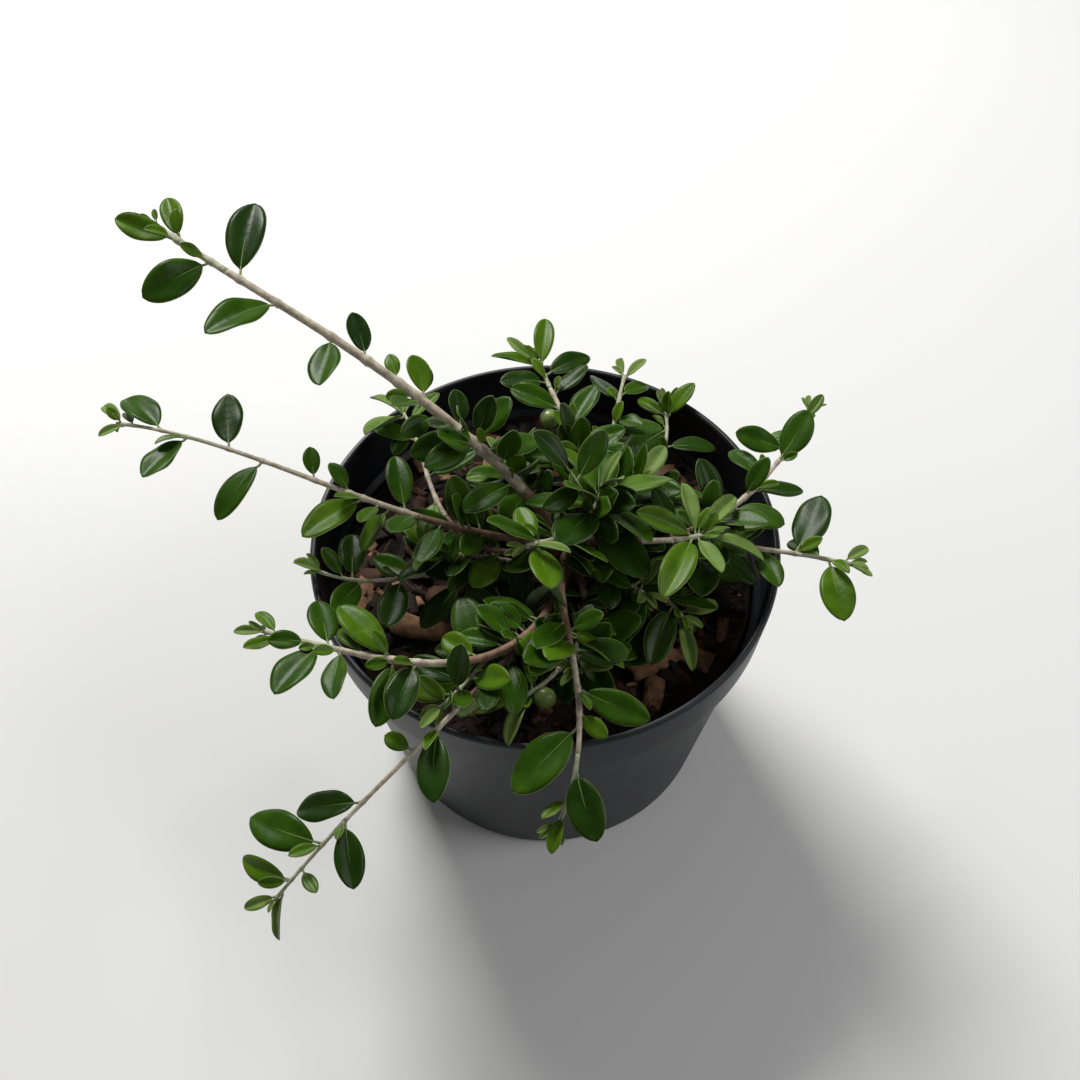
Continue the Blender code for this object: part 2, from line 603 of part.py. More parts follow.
def side_twigs(shoot, rng):
    """Short side twigs of a tuft, each with the leaves that it carries."""
    twigs = []
    for k in range(shoot.leaves.twigs):
        point, along, up, left = limb_frame(shoot, rng.uniform(0.55, 0.75))
        around = rng.uniform(0, 2 * math.pi)
        outward = left * math.cos(around) + up * math.sin(around)
        direction = (along * 0.6 + outward + Vector((0, 0, 0.3))).normalized()
        length = rng.uniform(*TWIG_LENGTHS)
        tip = point + direction * length
        middle = point.lerp(tip, 0.5) + Vector((0, 0, TWIG_RADII[0]))
        stations = [(place, radius, direction) for place, radius in zip((point, middle, tip), TWIG_RADII)]
        side = direction.cross(Vector((0, 0, 1))).normalized()
        frame = (direction, side.cross(direction), -side)
        leaves = []
        for place, turn in TWIG_LEAVES:
            lean = rng.uniform(-5, 20)
            around = lean if turn > 0 else 180 - lean
            size = shoot.leaves.size * rng.uniform(0.7, 0.95)
            leaves.append(grown_leaf(rng, point.lerp(tip, place), frame, around, abs(turn), size, 0.0, False))
        twigs.append((stations, leaves))
    return twigs


def berry_shells(shoot, place, turn):
    """Stalk and round fruit that hang from a mark on a limb."""
    point, along, up, left = limb_frame(shoot, place)
    swing = math.radians(turn)
    direction = (along * math.cos(swing) + left * math.sin(swing) + Vector((0, 0, -0.25))).normalized()
    centre = point + direction * STALK_LENGTH
    stalk = tube([(point, STALK_RADIUS, direction), (centre, STALK_RADIUS, direction)], TWIG_SIDES)
    ball = bmesh.new()
    bmesh.ops.create_icosphere(ball, subdivisions=1, radius=BERRY_RADIUS)
    points = [vert.co + centre for vert in ball.verts]
    faces = [tuple(vert.index for vert in face.verts) for face in ball.faces]
    ball.free()
    return stalk, (points, faces)


def grow_foliage(shoot, neighbours):
    """Twigs, leaves and fruit of one mass, each as points and faces, all clear of every other node."""
    rng = random.Random(shoot.seed)
    owner = shoot.name
    shells = []
    if isinstance(shoot.leaves, Whorl):
        leaves = whorled_leaves(shoot, rng)
        for stations, twig_leaves in side_twigs(shoot, rng):
            twig = tube(stations, TWIG_SIDES)
            if not neighbours.touch(*twig, apart_from=(owner,)):
                neighbours.add(owner, *twig)
                shells.append(twig)
                leaves.extend(twig_leaves)
    else:
        leaves = marked_leaves(shoot, rng)
    for place, turn in shoot.fruit:
        stalk, ball = berry_shells(shoot, place, turn)
        if not neighbours.touch(*ball):
            neighbours.add(owner, *ball)
            shells += [stalk, ball]
    for leaf in leaves:
        leaf = clear_leaf(leaf, owner, neighbours)
        if leaf:
            neighbours.add(owner, *leaf_shell(leaf, from_root=False))
            shells.append(leaf_shell(leaf))
    return shells


def cut_clear_of_trunk(piece, cutter):
    apply_boolean(piece, "DIFFERENCE", cutter=cutter)
    cleaned(piece.data)


def fuse(piece, shells, solver):
    """Join closed shells to a piece by one Boolean on a collection, which is then removed."""
    group = bpy.data.collections.new("shells")
    bpy.context.scene.collection.children.link(group)
    for points, faces in shells:
        mesh = bpy.data.meshes.new("shell")
        mesh.from_pydata(points, [], faces)
        group.objects.link(bpy.data.objects.new("shell", mesh))
    apply_boolean(piece, "UNION", collection=group, solver=solver)
    for shell in list(group.objects):
        mesh = shell.data
        bpy.data.objects.remove(shell, do_unlink=True)
        bpy.data.meshes.remove(mesh)
    bpy.data.collections.remove(group)
    return cleaned(piece.data)


def as_shell(piece):
    points = [vert.co.copy() for vert in piece.data.vertices]
    faces = [tuple(face.vertices) for face in piece.data.polygons]
    return points, faces


def make_plant(pot, mix):
    bark = material("bark", (0.115, 0.060, 0.035), 0.8)
    green = material("leaf_green", (0.035, 0.120, 0.018), 0.4)
    neighbours = Neighbours()
    neighbours.add("pot", *as_shell(pot))
    neighbours.add("mix", *as_shell(mix))
    trunk = mesh_object("trunk", *trunk_tube(), bark)
    neighbours.add("trunk", *as_shell(trunk))
    cutter = mesh_object("trunk_cutter", *trunk_tube(GAP))
    stems = {}
    for shoot in SHOOTS:
        start = 0.0
        if shoot.bare:
            pace = (limb_point(shoot, shoot.bare + 0.01) - limb_point(shoot, shoot.bare - 0.01)).length / 0.02
            half_gap = GAP / 2 / pace
            start = shoot.bare + half_gap
            end = shoot.bare - half_gap
            stations = limb_stations(shoot, 0.0, end, shoot.girth * BOUGH_SWELL, shoot.girth)
            bough = mesh_object(shoot.name + "_bough", *tube(stations, BOUGH_SIDES), bark)
            cut_clear_of_trunk(bough, cutter)
            neighbours.add(shoot.name, *as_shell(bough))
        stations = limb_stations(shoot, start, 1.0, shoot.girth, shoot.girth * STEM_TAPER)
        stem = mesh_object(shoot.name + "_foliage", *tube(stations, STEM_SIDES), green)
        if not shoot.bare:
            cut_clear_of_trunk(stem, cutter)
        neighbours.add(shoot.name, *as_shell(stem))
        stems[shoot.name] = stem
    bpy.data.objects.remove(cutter, do_unlink=True)
    for shoot in SHOOTS:
        shells = grow_foliage(shoot, neighbours)
        stem = stems[shoot.name]
        plain = stem.data.copy()
        if not fuse(stem, shells, "MANIFOLD"):
            stem.data = plain
            fuse(stem, shells, "EXACT")


def main():
    clear_scene()
    pot = make_pot()
    mix = make_mix()
    make_plant(pot, mix)


if __name__ == "__main__":
    main()
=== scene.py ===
"""Looks of a young potted coral beauty cotoneaster: leaves with ribs and pale margins, bark,
fruit, bark mulch and a moulded pot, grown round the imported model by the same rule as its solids.
"""

import json
import math
import random
from collections import namedtuple

import bmesh
import bpy
from mathutils import Matrix, Vector, noise
from mathutils.bvhtree import BVHTree

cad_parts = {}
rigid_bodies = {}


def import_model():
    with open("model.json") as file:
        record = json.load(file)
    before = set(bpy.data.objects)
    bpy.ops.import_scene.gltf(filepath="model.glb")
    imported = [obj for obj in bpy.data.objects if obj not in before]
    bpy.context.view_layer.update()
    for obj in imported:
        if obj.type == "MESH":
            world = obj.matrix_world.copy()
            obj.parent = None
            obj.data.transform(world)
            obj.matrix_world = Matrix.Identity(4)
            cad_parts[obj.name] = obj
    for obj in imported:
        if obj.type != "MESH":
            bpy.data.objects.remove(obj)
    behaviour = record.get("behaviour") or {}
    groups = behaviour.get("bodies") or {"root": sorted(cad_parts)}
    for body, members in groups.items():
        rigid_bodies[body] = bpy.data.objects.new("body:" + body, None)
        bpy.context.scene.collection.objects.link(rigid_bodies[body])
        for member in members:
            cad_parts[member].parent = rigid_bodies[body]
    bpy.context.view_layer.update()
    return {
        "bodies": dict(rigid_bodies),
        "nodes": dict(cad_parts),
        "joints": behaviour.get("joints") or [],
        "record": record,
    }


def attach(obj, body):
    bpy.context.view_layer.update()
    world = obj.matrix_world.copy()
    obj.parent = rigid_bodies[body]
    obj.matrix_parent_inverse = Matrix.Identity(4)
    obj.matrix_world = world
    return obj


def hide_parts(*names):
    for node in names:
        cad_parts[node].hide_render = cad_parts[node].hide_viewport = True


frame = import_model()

# Gap that touching pieces keep
GAP = 0.0003

# Pot
POT_HEIGHT = 0.100
RIM_RADIUS = 0.070
RIM_WIDTH = 0.0022
COLLAR_HEIGHT = 0.0185
COLLAR_FOOT_RADIUS = 0.0683
BODY_TOP_RADIUS = 0.0656
FOOT_RADIUS = 0.0535
FOOT_ROUNDING = 0.0020
WALL = 0.0016
FLOOR = 0.0018
DRAIN_HOLES = 6
DRAIN_RADIUS = 0.0045
DRAIN_RING_RADIUS = 0.040

# Potting mix
SOIL_TOP = 0.082
SOIL_ROUGHNESS = 0.0012
TRUNK_CLEARING = 0.011
CHIP_THICKNESS = 0.0022

# Large bark chips: x, y, length, width, and turn in degrees
PLANKS = ((-0.037, -0.021, 0.021, 0.007, -12), (-0.016, -0.013, 0.013, 0.006, 70),
          (0.031, -0.033, 0.017, 0.008, 35), (0.031, -0.043, 0.013, 0.006, 80),
          (0.044, -0.031, 0.012, 0.007, -30), (0.036, 0.036, 0.015, 0.007, 20))

# Trunk: places on its axis and radius there, from the flat cut at the soil to the blunt top
TRUNK_FOOT = Vector((0.009, -0.009, SOIL_TOP + GAP))
TRUNK_TOP = Vector((0.007, -0.006, 0.112))
TRUNK_PROFILE = ((0.0, 0.0064), (0.05, 0.0054), (0.14, 0.0046), (0.4, 0.0041), (0.8, 0.0036),
                 (0.95, 0.0029), (1.0, 0.0016))

# Limbs
BOUGH_SWELL = 1.45
STEM_SIDES = 4
STEM_TAPER = 0.55
TWIG_SIDES = 3
LIMB_STEP = 0.009

# Leaves
LEAF_THICKNESS = 0.0005
PETIOLE_SHARE = 0.12
PETIOLE_HALF_WIDTH = 0.00045
LEAF_ROWS = (0.0, 0.30, 0.72)
LEAF_CLEARANCE = 0.00045
SPIRAL_TURN = 137.5

# Sideways swing, rise and scale that a leaf tries, in turn, to stay clear of its neighbours
LEAF_TRIES = ((0, 0, 1.0), (0, 13, 1.0), (0, -13, 1.0), (13, 4, 0.96), (-13, 4, 0.96), (0, 26, 0.92),
              (15, 20, 0.9), (-15, 20, 0.9), (28, 10, 0.86), (-28, 10, 0.86), (0, 40, 0.84), (0, -26, 0.84))

# Side twigs of a tuft: radius at root, middle and tip, least and greatest length, and leaves
# as place along the twig and turn from it in degrees
TWIG_RADII = (0.00060, 0.00048, 0.00030)
TWIG_LENGTHS = (0.010, 0.014)
TWIG_LEAVES = ((0.50, 68), (0.72, -62), (0.96, 10))

# Fruit
BERRY_RADIUS = 0.0031
STALK_LENGTH = 0.0045
STALK_RADIUS = 0.0004

# A shoot is one limb: its foot's height on the trunk, the share of it that is bare bough, its tip,
# how far it arches up, how far it sways to the left at a third and at two thirds of its length, and
# its radius where its leaves begin. Leaves are marks (place along the limb, turn from it in degrees
# with + to the left, length), or spiral round it by the seed. Fruit are marks without a length.
Shoot = namedtuple("Shoot", "name height bare tip arch sway girth leaves fruit seed")
Whorl = namedtuple("Whorl", "count size twigs")

SHOOTS = (
    Shoot("high_left", 0.1060, 0.12, (-0.112, 0.067, 0.165), 0.0120, (-0.008, 0.007), 0.0016,
          ((0.14, 70, 0.019), (0.22, -130, 0.018), (0.24, 70, 0.019), (0.27, -35, 0.013), (0.37, 40, 0.009),
           (0.41, -42, 0.010), (0.48, -12, 0.017), (0.56, 110, 0.020), (0.68, 65, 0.025), (0.77, -60, 0.026),
           (0.84, 70, 0.022), (0.92, -24, 0.018), (0.93, 26, 0.018), (0.97, 5, 0.017)), (), 1),
    Shoot("far_left", 0.1054, 0.30, (-0.130, 0.035, 0.114), 0.0068, (0.019, -0.002), 0.0009,
          ((0.33, -60, 0.019), (0.42, 60, 0.022), (0.45, -28, 0.012), (0.53, -55, 0.011), (0.65, 75, 0.022),
           (0.73, -58, 0.020), (0.83, 72, 0.019), (0.89, -32, 0.021), (0.96, -50, 0.012), (0.975, 40, 0.009),
           (0.985, -6, 0.015)), (), 2),
    Shoot("mid_left", 0.0870, 0.52, (-0.066, -0.013, 0.103), 0.0020, (-0.018, 0.013), 0.0008,
          ((0.62, -40, 0.015), (0.68, 62, 0.017), (0.83, 60, 0.017), (0.87, -82, 0.016), (0.90, -28, 0.012),
           (0.97, 16, 0.011), (0.985, -10, 0.010)), (), 3),
    Shoot("rear_left", 0.1028, 0.45, (-0.044, 0.046, 0.104), 0.0021, (0.040, 0.007), 0.0008,
          ((0.55, 160, 0.017), (0.66, -80, 0.017), (0.76, -110, 0.016), (0.84, 60, 0.015), (0.91, 130, 0.011),
           (0.95, -70, 0.014), (0.985, 120, 0.024), (0.99, 20, 0.015)), (), 4),
    Shoot("front_left", 0.1017, 0.50, (-0.078, -0.039, 0.112), 0.0044, (0.051, 0.024), 0.0011,
          ((0.60, 70, 0.018), (0.66, 85, 0.019), (0.67, -40, 0.022), (0.74, -32, 0.013), (0.80, 100, 0.018),
           (0.83, -60, 0.017), (0.85, 72, 0.020), (0.88, 18, 0.012), (0.95, 50, 0.011), (0.96, -35, 0.011),
           (0.985, 8, 0.010)), (), 5),
    Shoot("trailing", 0.0937, 0.45, (-0.074, -0.103, 0.078), 0.0187, (0.018, 0.007), 0.0008,
          ((0.54, 40, 0.021), (0.61, -75, 0.010), (0.75, -40, 0.021), (0.80, 56, 0.018), (0.86, -60, 0.024),
           (0.92, 88, 0.009), (0.95, -60, 0.017), (0.975, 25, 0.014), (0.985, -10, 0.011)), (), 6),
    Shoot("front", 0.1047, 0.50, (0.002, -0.089, 0.091), 0.0142, (-0.009, 0.015), 0.0009,
          ((0.61, 58, 0.021), (0.68, 15, 0.012), (0.72, -46, 0.025), (0.84, 25, 0.020), (0.92, -22, 0.010),
           (0.96, 10, 0.012)), (), 7),
    Shoot("right", 0.0987, 0.46, (0.087, -0.018, 0.110), 0.0037, (0.006, 0.003), 0.0009,
          ((0.55, 60, 0.017), (0.66, -60, 0.017), (0.80, 72, 0.022), (0.90, 140, 0.015), (0.92, -72, 0.020),
           (0.97, 50, 0.010), (0.985, -20, 0.008)), (), 8),
    Shoot("upper_right", 0.1040, 0.40, (0.082, 0.039, 0.112), 0.0050, (-0.030, -0.019), 0.0009,
          ((0.50, -60, 0.016), (0.56, 12, 0.016), (0.60, -35, 0.016), (0.66, 75, 0.016), (0.74, -6, 0.020),
           (0.80, 105, 0.016), (0.88, 130, 0.009), (0.94, -12, 0.011), (0.985, 20, 0.007)), (), 9),
    Shoot("back", 0.1070, 0.30, (-0.001, 0.060, 0.112), 0.0040, (-0.014, -0.001), 0.0010,
          ((0.40, 80, 0.017), (0.44, -85, 0.016), (0.51, 120, 0.015), (0.54, -30, 0.019), (0.66, 52, 0.017),
           (0.76, -65, 0.015), (0.84, 75, 0.015), (0.89, -68, 0.018), (0.94, -16, 0.021), (0.96, 66, 0.016),
           (0.985, 40, 0.015)), ((0.62, 70),), 10),
    Shoot("back_right", 0.1000, 0.42, (0.026, 0.057, 0.108), 0.0040, (-0.006, -0.001), 0.0009,
          ((0.52, 75, 0.016), (0.59, 140, 0.014), (0.66, -80, 0.015), (0.72, -120, 0.011), (0.82, 32, 0.018),
           (0.86, -40, 0.012), (0.97, -8, 0.012), (0.985, 25, 0.009)), (), 11),
    Shoot("side_back", 0.0862, 0.55, (0.039, 0.052, 0.098), 0.0040, (-0.007, -0.014), 0.0008,
          ((0.70, 80, 0.016), (0.78, -75, 0.016), (0.88, 140, 0.020), (0.94, -52, 0.017), (0.95, 14, 0.015),
           (0.985, -30, 0.010)), (), 12),
    Shoot("low_right", 0.0940, 0.50, (0.039, -0.027, 0.098), 0.0040, (0.005, 0.005), 0.0008,
          ((0.66, 75, 0.015), (0.80, 20, 0.016), (0.90, -65, 0.020), (0.97, 70, 0.014), (0.985, -28, 0.017)),
          (), 13),
    Shoot("fore", 0.1060, 0.0, (-0.005, -0.025, 0.131), 0.0040, (0.002, 0.004), 0.0011,
          ((0.30, -75, 0.019), (0.50, 75, 0.018), (0.80, -28, 0.019), (0.86, 60, 0.019), (0.92, -110, 0.014),
           (0.98, 110, 0.017)), (), 14),
    Shoot("right_rosette", 0.1065, 0.55, (0.044, -0.013, 0.118), 0.0053, (-0.004, -0.008), 0.0010,
          ((0.80, 100, 0.016), (0.94, -130, 0.024), (0.955, 150, 0.022), (0.97, 85, 0.017),
           (0.975, -100, 0.018), (0.985, 30, 0.019), (0.985, -35, 0.020)), (), 15),
    Shoot("front_inner", 0.0972, 0.60, (-0.007, -0.055, 0.101), 0.0047, (0.012, 0.016), 0.0009,
          ((0.78, -95, 0.016), (0.90, 60, 0.013), (0.95, -120, 0.015), (0.97, 42, 0.016), (0.98, -75, 0.012),
           (0.985, -20, 0.015)), ((0.88, 50),), 16),
    Shoot("crown", 0.1100, 0.0, (0.016, -0.002, 0.124), 0.0030, (-0.006, -0.003), 0.0010,
          Whorl(12, 0.021, 1), (), 17),
    Shoot("front_knot", 0.0858, 0.0, (0.008, -0.046, 0.103), -0.0001, (0.003, 0.002), 0.0010,
          Whorl(12, 0.019, 2), (), 18),
    Shoot("inner_right", 0.0891, 0.0, (0.028, -0.022, 0.103), 0.0019, (0.000, 0.002), 0.0009,
          Whorl(11, 0.018, 2), (), 19),
    Shoot("inner_left", 0.0865, 0.0, (-0.020, -0.040, 0.094), 0.0028, (0.000, 0.000), 0.0008,
          Whorl(11, 0.017, 2), (), 20),
    Shoot("side_left", 0.0950, 0.0, (-0.034, -0.006, 0.101), 0.0030, (0.004, 0.000), 0.0008,
          Whorl(12, 0.019, 2), (), 21),
    Shoot("rear_tuft", 0.0980, 0.0, (-0.010, 0.020, 0.108), 0.0030, (0.000, 0.000), 0.0009,
          Whorl(12, 0.019, 2), (), 22),
    Shoot("rear_right", 0.0905, 0.0, (0.029, 0.018, 0.104), 0.0020, (0.000, 0.000), 0.0009,
          Whorl(12, 0.018, 2), (), 23),
    Shoot("far_right", 0.0911, 0.55, (0.056, -0.004, 0.101), 0.0023, (0.003, 0.000), 0.0008,
          Whorl(10, 0.018, 1), (), 24),
    Shoot("rim_left", 0.0896, 0.60, (-0.029, -0.059, 0.104), 0.0040, (-0.003, 0.003), 0.0008,
          Whorl(10, 0.017, 1), ((0.90, 80), (0.96, 120)), 25),
)

Leaf = namedtuple("Leaf", "root along face length width fold curl young stalk")


def pot_profile():
    """Outline of the pot's wall, from the middle of its underside round to the middle of its floor."""
    collar_foot = POT_HEIGHT - COLLAR_HEIGHT
    collar_inside = COLLAR_FOOT_RADIUS - RIM_WIDTH
    outline = [(FOOT_RADIUS - FOOT_ROUNDING, 0.0)]
    for step in (0.5, 1.0):
        angle = step * math.pi / 2
        outline.append((FOOT_RADIUS - FOOT_ROUNDING + FOOT_ROUNDING * math.sin(angle),
                        FOOT_ROUNDING - FOOT_ROUNDING * math.cos(angle)))
    outline += [
        (BODY_TOP_RADIUS, collar_foot),
        (COLLAR_FOOT_RADIUS, collar_foot + 0.0008),
        (RIM_RADIUS, POT_HEIGHT - 0.0010),
        (RIM_RADIUS - 0.0007, POT_HEIGHT),
        (RIM_RADIUS - RIM_WIDTH + 0.0005, POT_HEIGHT),
        (RIM_RADIUS - RIM_WIDTH, POT_HEIGHT - 0.0008),
        (collar_inside, collar_foot + 0.0010),
        (BODY_TOP_RADIUS - WALL, collar_foot - 0.0010),
        (FOOT_RADIUS - WALL, FLOOR + 0.0010),
        (FOOT_RADIUS - WALL - 0.0012, FLOOR),
    ]
    return outline


def soil_height(x, y):
    """Uneven surface of the mix, level under the trunk."""
    wave = math.sin(x * 310 + 0.7) * math.cos(y * 270 - 0.4) + 0.6 * math.sin(x * 140 - y * 190)
    away = math.hypot(x - TRUNK_FOOT.x, y - TRUNK_FOOT.y)
    ease = min(1.0, max(0.0, (away - TRUNK_CLEARING) / 0.012))
    return SOIL_TOP + SOIL_ROUGHNESS * wave * ease


# Shapes that pieces share

def band_faces(rings, sides):
    """Faces between rings of points that follow each other."""
    faces = []
    for ring in range(rings - 1):
        for k in range(sides):
            a = ring * sides + k
            b = ring * sides + (k + 1) % sides
            faces.append((a, b, b + sides, a + sides))
    return faces


def capped_faces(rings, sides):
    """Faces of a closed shape, with a flat cap on its first ring and on its last."""
    last = (rings - 1) * sides
    return band_faces(rings, sides) + [tuple(reversed(range(sides))), tuple(range(last, last + sides))]


def flat_ring(radius, height, segments):
    """Level ring of points about the pot's axis."""
    turns = [2 * math.pi * k / segments for k in range(segments)]
    return [(radius * math.cos(turn), radius * math.sin(turn), height) for turn in turns]


# Trunk and limbs

def trunk_point(height):
    return TRUNK_FOOT.lerp(TRUNK_TOP, (height - TRUNK_FOOT.z) / (TRUNK_TOP.z - TRUNK_FOOT.z))


def tube(stations, sides):
    """Points and faces of a closed tube through (centre, radius, direction) stations."""
    points = []
    side = None
    for centre, radius, ahead in stations:
        if side is None:
            side = ahead.orthogonal().normalized()
        side = (side - ahead * side.dot(ahead)).normalized()
        other = ahead.cross(side)
        for s in range(sides):
            angle = 2 * math.pi * s / sides
            points.append(centre + (side * math.cos(angle) + other * math.sin(angle)) * radius)
    return points, capped_faces(len(stations), sides)


def limb_point(shoot, t):
    """Point at share t of a limb, on one cubic curve from the trunk's axis to the limb's tip."""
    foot = trunk_point(shoot.height)
    tip = Vector(shoot.tip)
    reach = tip - foot
    left = Vector((-reach.y, reach.x, 0.0)).normalized()
    lift = Vector((0, 0, shoot.arch * 4 / 3))
    first = foot + reach / 3 + lift + left * shoot.sway[0]
    second = foot + reach * 2 / 3 + lift + left * shoot.sway[1]
    u = 1 - t
    return foot * u ** 3 + first * 3 * t * u ** 2 + second * 3 * t ** 2 * u + tip * t ** 3


def limb_frame(shoot, t):
    """Point on a limb, with the directions along it, up from it and to its left."""
    along = (limb_point(shoot, t + 0.01) - limb_point(shoot, t - 0.01)).normalized()
    up = Vector((0, 0, 1)) - along * along.z
    if up.length < 0.4:
        up = Vector((0, 1, 0)) - along * along.y
    up.normalize()
    return limb_point(shoot, t), along, up, up.cross(along)


def limb_stations(shoot, start, end, radius_start, radius_end):
    length = (limb_point(shoot, end) - limb_point(shoot, start)).length
    steps = max(2, round(length / LIMB_STEP))
    stations = []
    for k in range(steps + 1):
        share = k / steps
        point, along, up, left = limb_frame(shoot, start + (end - start) * share)
        stations.append((point, radius_start + (radius_end - radius_start) * share, along))
    return stations


def half_width(s):
    """Half of a blade's width at share s of its length, as a share of its full width."""
    return 0.5 * (max(s, 0.0) ** 0.72 * max(1 - s, 0.0) ** 0.66) / 0.3841


def blade_frame(leaf, s):
    """Middle of a curled blade at share s of its length, and the direction out of its face there."""
    blade = leaf.length - leaf.stalk
    bend = leaf.curl * s
    centre = (leaf.root + leaf.along * (leaf.stalk + s * blade * math.cos(bend / 2))
              - leaf.face * (s * blade * math.sin(bend / 2)))
    return centre, leaf.face * math.cos(bend) + leaf.along * math.sin(bend)


def leaf_row(leaf, s, grow=0.0):
    """Left edge, crest, right edge and keel of a leaf at share s of its blade; s = -1 is its root."""
    across = leaf.along.cross(leaf.face)
    if s <= 0:
        centre = leaf.root + leaf.along * leaf.stalk * (1 + s)
        face = leaf.face
        edge = PETIOLE_HALF_WIDTH + grow
        rise = 0.0
    else:
        centre, face = blade_frame(leaf, s)
        edge = max(PETIOLE_HALF_WIDTH, half_width(s) * leaf.width) + grow
        rise = edge * math.sin(leaf.fold)
        edge *= math.cos(leaf.fold)
    half = LEAF_THICKNESS / 2 + grow
    return (centre - across * edge + face * rise, centre + face * half,
            centre + across * edge + face * rise, centre - face * half)


def leaf_shell(leaf, grow=0.0, from_root=True):
    """Points and faces of one closed leaf."""
    places = ((-1.0,) if from_root else ()) + LEAF_ROWS
    points = []
    for s in places:
        points.extend(leaf_row(leaf, s, grow))
    row = leaf_row(leaf, 1.0)
    points.append((row[1] + row[3]) / 2 + leaf.along * grow)
    faces = band_faces(len(places), 4)
    last = (len(places) - 1) * 4
    for k in range(4):
        faces.append((last + k, last + (k + 1) % 4, len(points) - 1))
    faces.append((3, 2, 1, 0))
    return points, faces


def grown_leaf(rng, frame, around, cone, length, young, spread, girth=0.0):
    """A leaf that leaves its stem at a cone angle, in the direction that around gives about the stem."""
    origin, along, up, left = frame
    around = math.radians(around)
    cone = math.radians(cone)
    outward = left * math.cos(around) + up * math.sin(around)
    direction = along * math.cos(cone) + outward * math.sin(cone)
    face = (along if spread else up) + Vector((0, 0, 0.6))
    face = (face - direction * face.dot(direction)).normalized()
    face = Matrix.Rotation(math.radians(rng.gauss(0, 13)), 3, direction) @ face
    width = length * rng.uniform(0.42, 0.53) * (1 - 0.25 * young)
    fold = math.radians(rng.uniform(10, 26) + 30 * young)
    stalk = max(PETIOLE_SHARE * length, girth * 1.2 + 0.0008)
    return Leaf(origin, direction, face, length, width, fold, rng.uniform(-0.1, 0.5), young, stalk)


def marked_leaves(shoot, rng):
    """Leaves at a shoot's own marks, in two ranks along it."""
    leaves = []
    for place, turn, length in shoot.leaves:
        frame = limb_frame(shoot, place)
        lean = rng.uniform(-6, 18)
        around = lean if turn > 0 else 180 - lean
        young = max(0.0, (place - 0.9) / 0.1)
        leaves.append(grown_leaf(rng, frame, around, abs(turn), length, young, False, shoot.girth))
    return leaves


def whorled_leaves(shoot, rng):
    """Leaves that spiral round the upper part of a tuft, wide at its foot and closing at its tip."""
    whorl = shoot.leaves
    leaves = []
    spin = rng.uniform(0, 360)
    start = max(shoot.bare + 0.12, 0.45)
    for k in range(whorl.count):
        share = k / (whorl.count - 1)
        place = start + (0.985 - start) * share ** 0.7
        point, along, up, left = limb_frame(shoot, place)
        along = (along + Vector((0, 0, 1.4))).normalized()
        left = (left - along * left.dot(along)).normalized()
        frame = (point, along, along.cross(left), left)
        length = whorl.size * (1.1 - 0.4 * share ** 2) * rng.uniform(0.85, 1.15)
        cone = 84 - 50 * share ** 2 + rng.uniform(-8, 8)
        young = max(0.0, (share - 0.75) / 0.25)
        around = spin + SPIRAL_TURN * k
        leaves.append(grown_leaf(rng, frame, around, cone, length, young, True, shoot.girth))
    return leaves


def box(points):
    """Lowest and highest corner of points."""
    return [Vector([pick(p[axis] for p in points) for axis in range(3)]) for pick in (min, max)]


class Neighbours:
    """All pieces placed so far, asked whether a new one would touch them."""

    def __init__(self):
        self.pieces = []

    def add(self, owner, points, faces):
        self.pieces.append((owner, *box(points), BVHTree.FromPolygons(points, faces)))

    def touch(self, points, faces, apart_from=()):
        low, high = box(points)
        tree = None
        for owner, other_low, other_high, other_tree in self.pieces:
            if owner in apart_from:
                continue
            if any(low[axis] > other_high[axis] or high[axis] < other_low[axis] for axis in range(3)):
                continue
            if tree is None:
                tree = BVHTree.FromPolygons(points, faces)
            if tree.overlap(other_tree):
                return True
        return False


def swung_leaf(leaf, swing, rise, scale):
    across = leaf.along.cross(leaf.face)
    turn = Matrix.Rotation(math.radians(swing), 3, leaf.face) @ Matrix.Rotation(math.radians(rise), 3, across)
    return leaf._replace(along=turn @ leaf.along, face=turn @ leaf.face, length=leaf.length * scale,
                         width=leaf.width * scale)


def clear_leaf(leaf, owner, neighbours):
    """The leaf, or the first of its tries, that touches nothing; None where all of them touch."""
    for swing, rise, scale in LEAF_TRIES:
        trial = swung_leaf(leaf, swing, rise, scale)
        if neighbours.touch(*leaf_shell(trial, LEAF_CLEARANCE, from_root=False)):
            continue
        if neighbours.touch(*leaf_shell(trial, LEAF_CLEARANCE), apart_from=(owner,)):
            continue
        return trial
    return None


def side_twigs(shoot, rng):
    """Short side twigs of a tuft, each with the leaves that it carries."""
    twigs = []
    for k in range(shoot.leaves.twigs):
        point, along, up, left = limb_frame(shoot, rng.uniform(0.55, 0.75))
        around = rng.uniform(0, 2 * math.pi)
        outward = left * math.cos(around) + up * math.sin(around)
        direction = (along * 0.6 + outward + Vector((0, 0, 0.3))).normalized()
        length = rng.uniform(*TWIG_LENGTHS)
        tip = point + direction * length
        middle = point.lerp(tip, 0.5) + Vector((0, 0, TWIG_RADII[0]))
        stations = [(place, radius, direction) for place, radius in zip((point, middle, tip), TWIG_RADII)]
        side = direction.cross(Vector((0, 0, 1))).normalized()
        leaves = []
        for place, turn in TWIG_LEAVES:
            lean = rng.uniform(-5, 20)
            around = lean if turn > 0 else 180 - lean
            size = shoot.leaves.size * rng.uniform(0.7, 0.95)
            frame = (point.lerp(tip, place), direction, side.cross(direction), -side)
            leaves.append(grown_leaf(rng, frame, around, abs(turn), size, 0.0, False))
        twigs.append((stations, leaves))
    return twigs


# Building of joined meshes

def linked(name, data):
    """New object for a mesh, lamp or camera, in the scene."""
    piece = bpy.data.objects.new(name, data)
    bpy.context.scene.collection.objects.link(piece)
    return piece


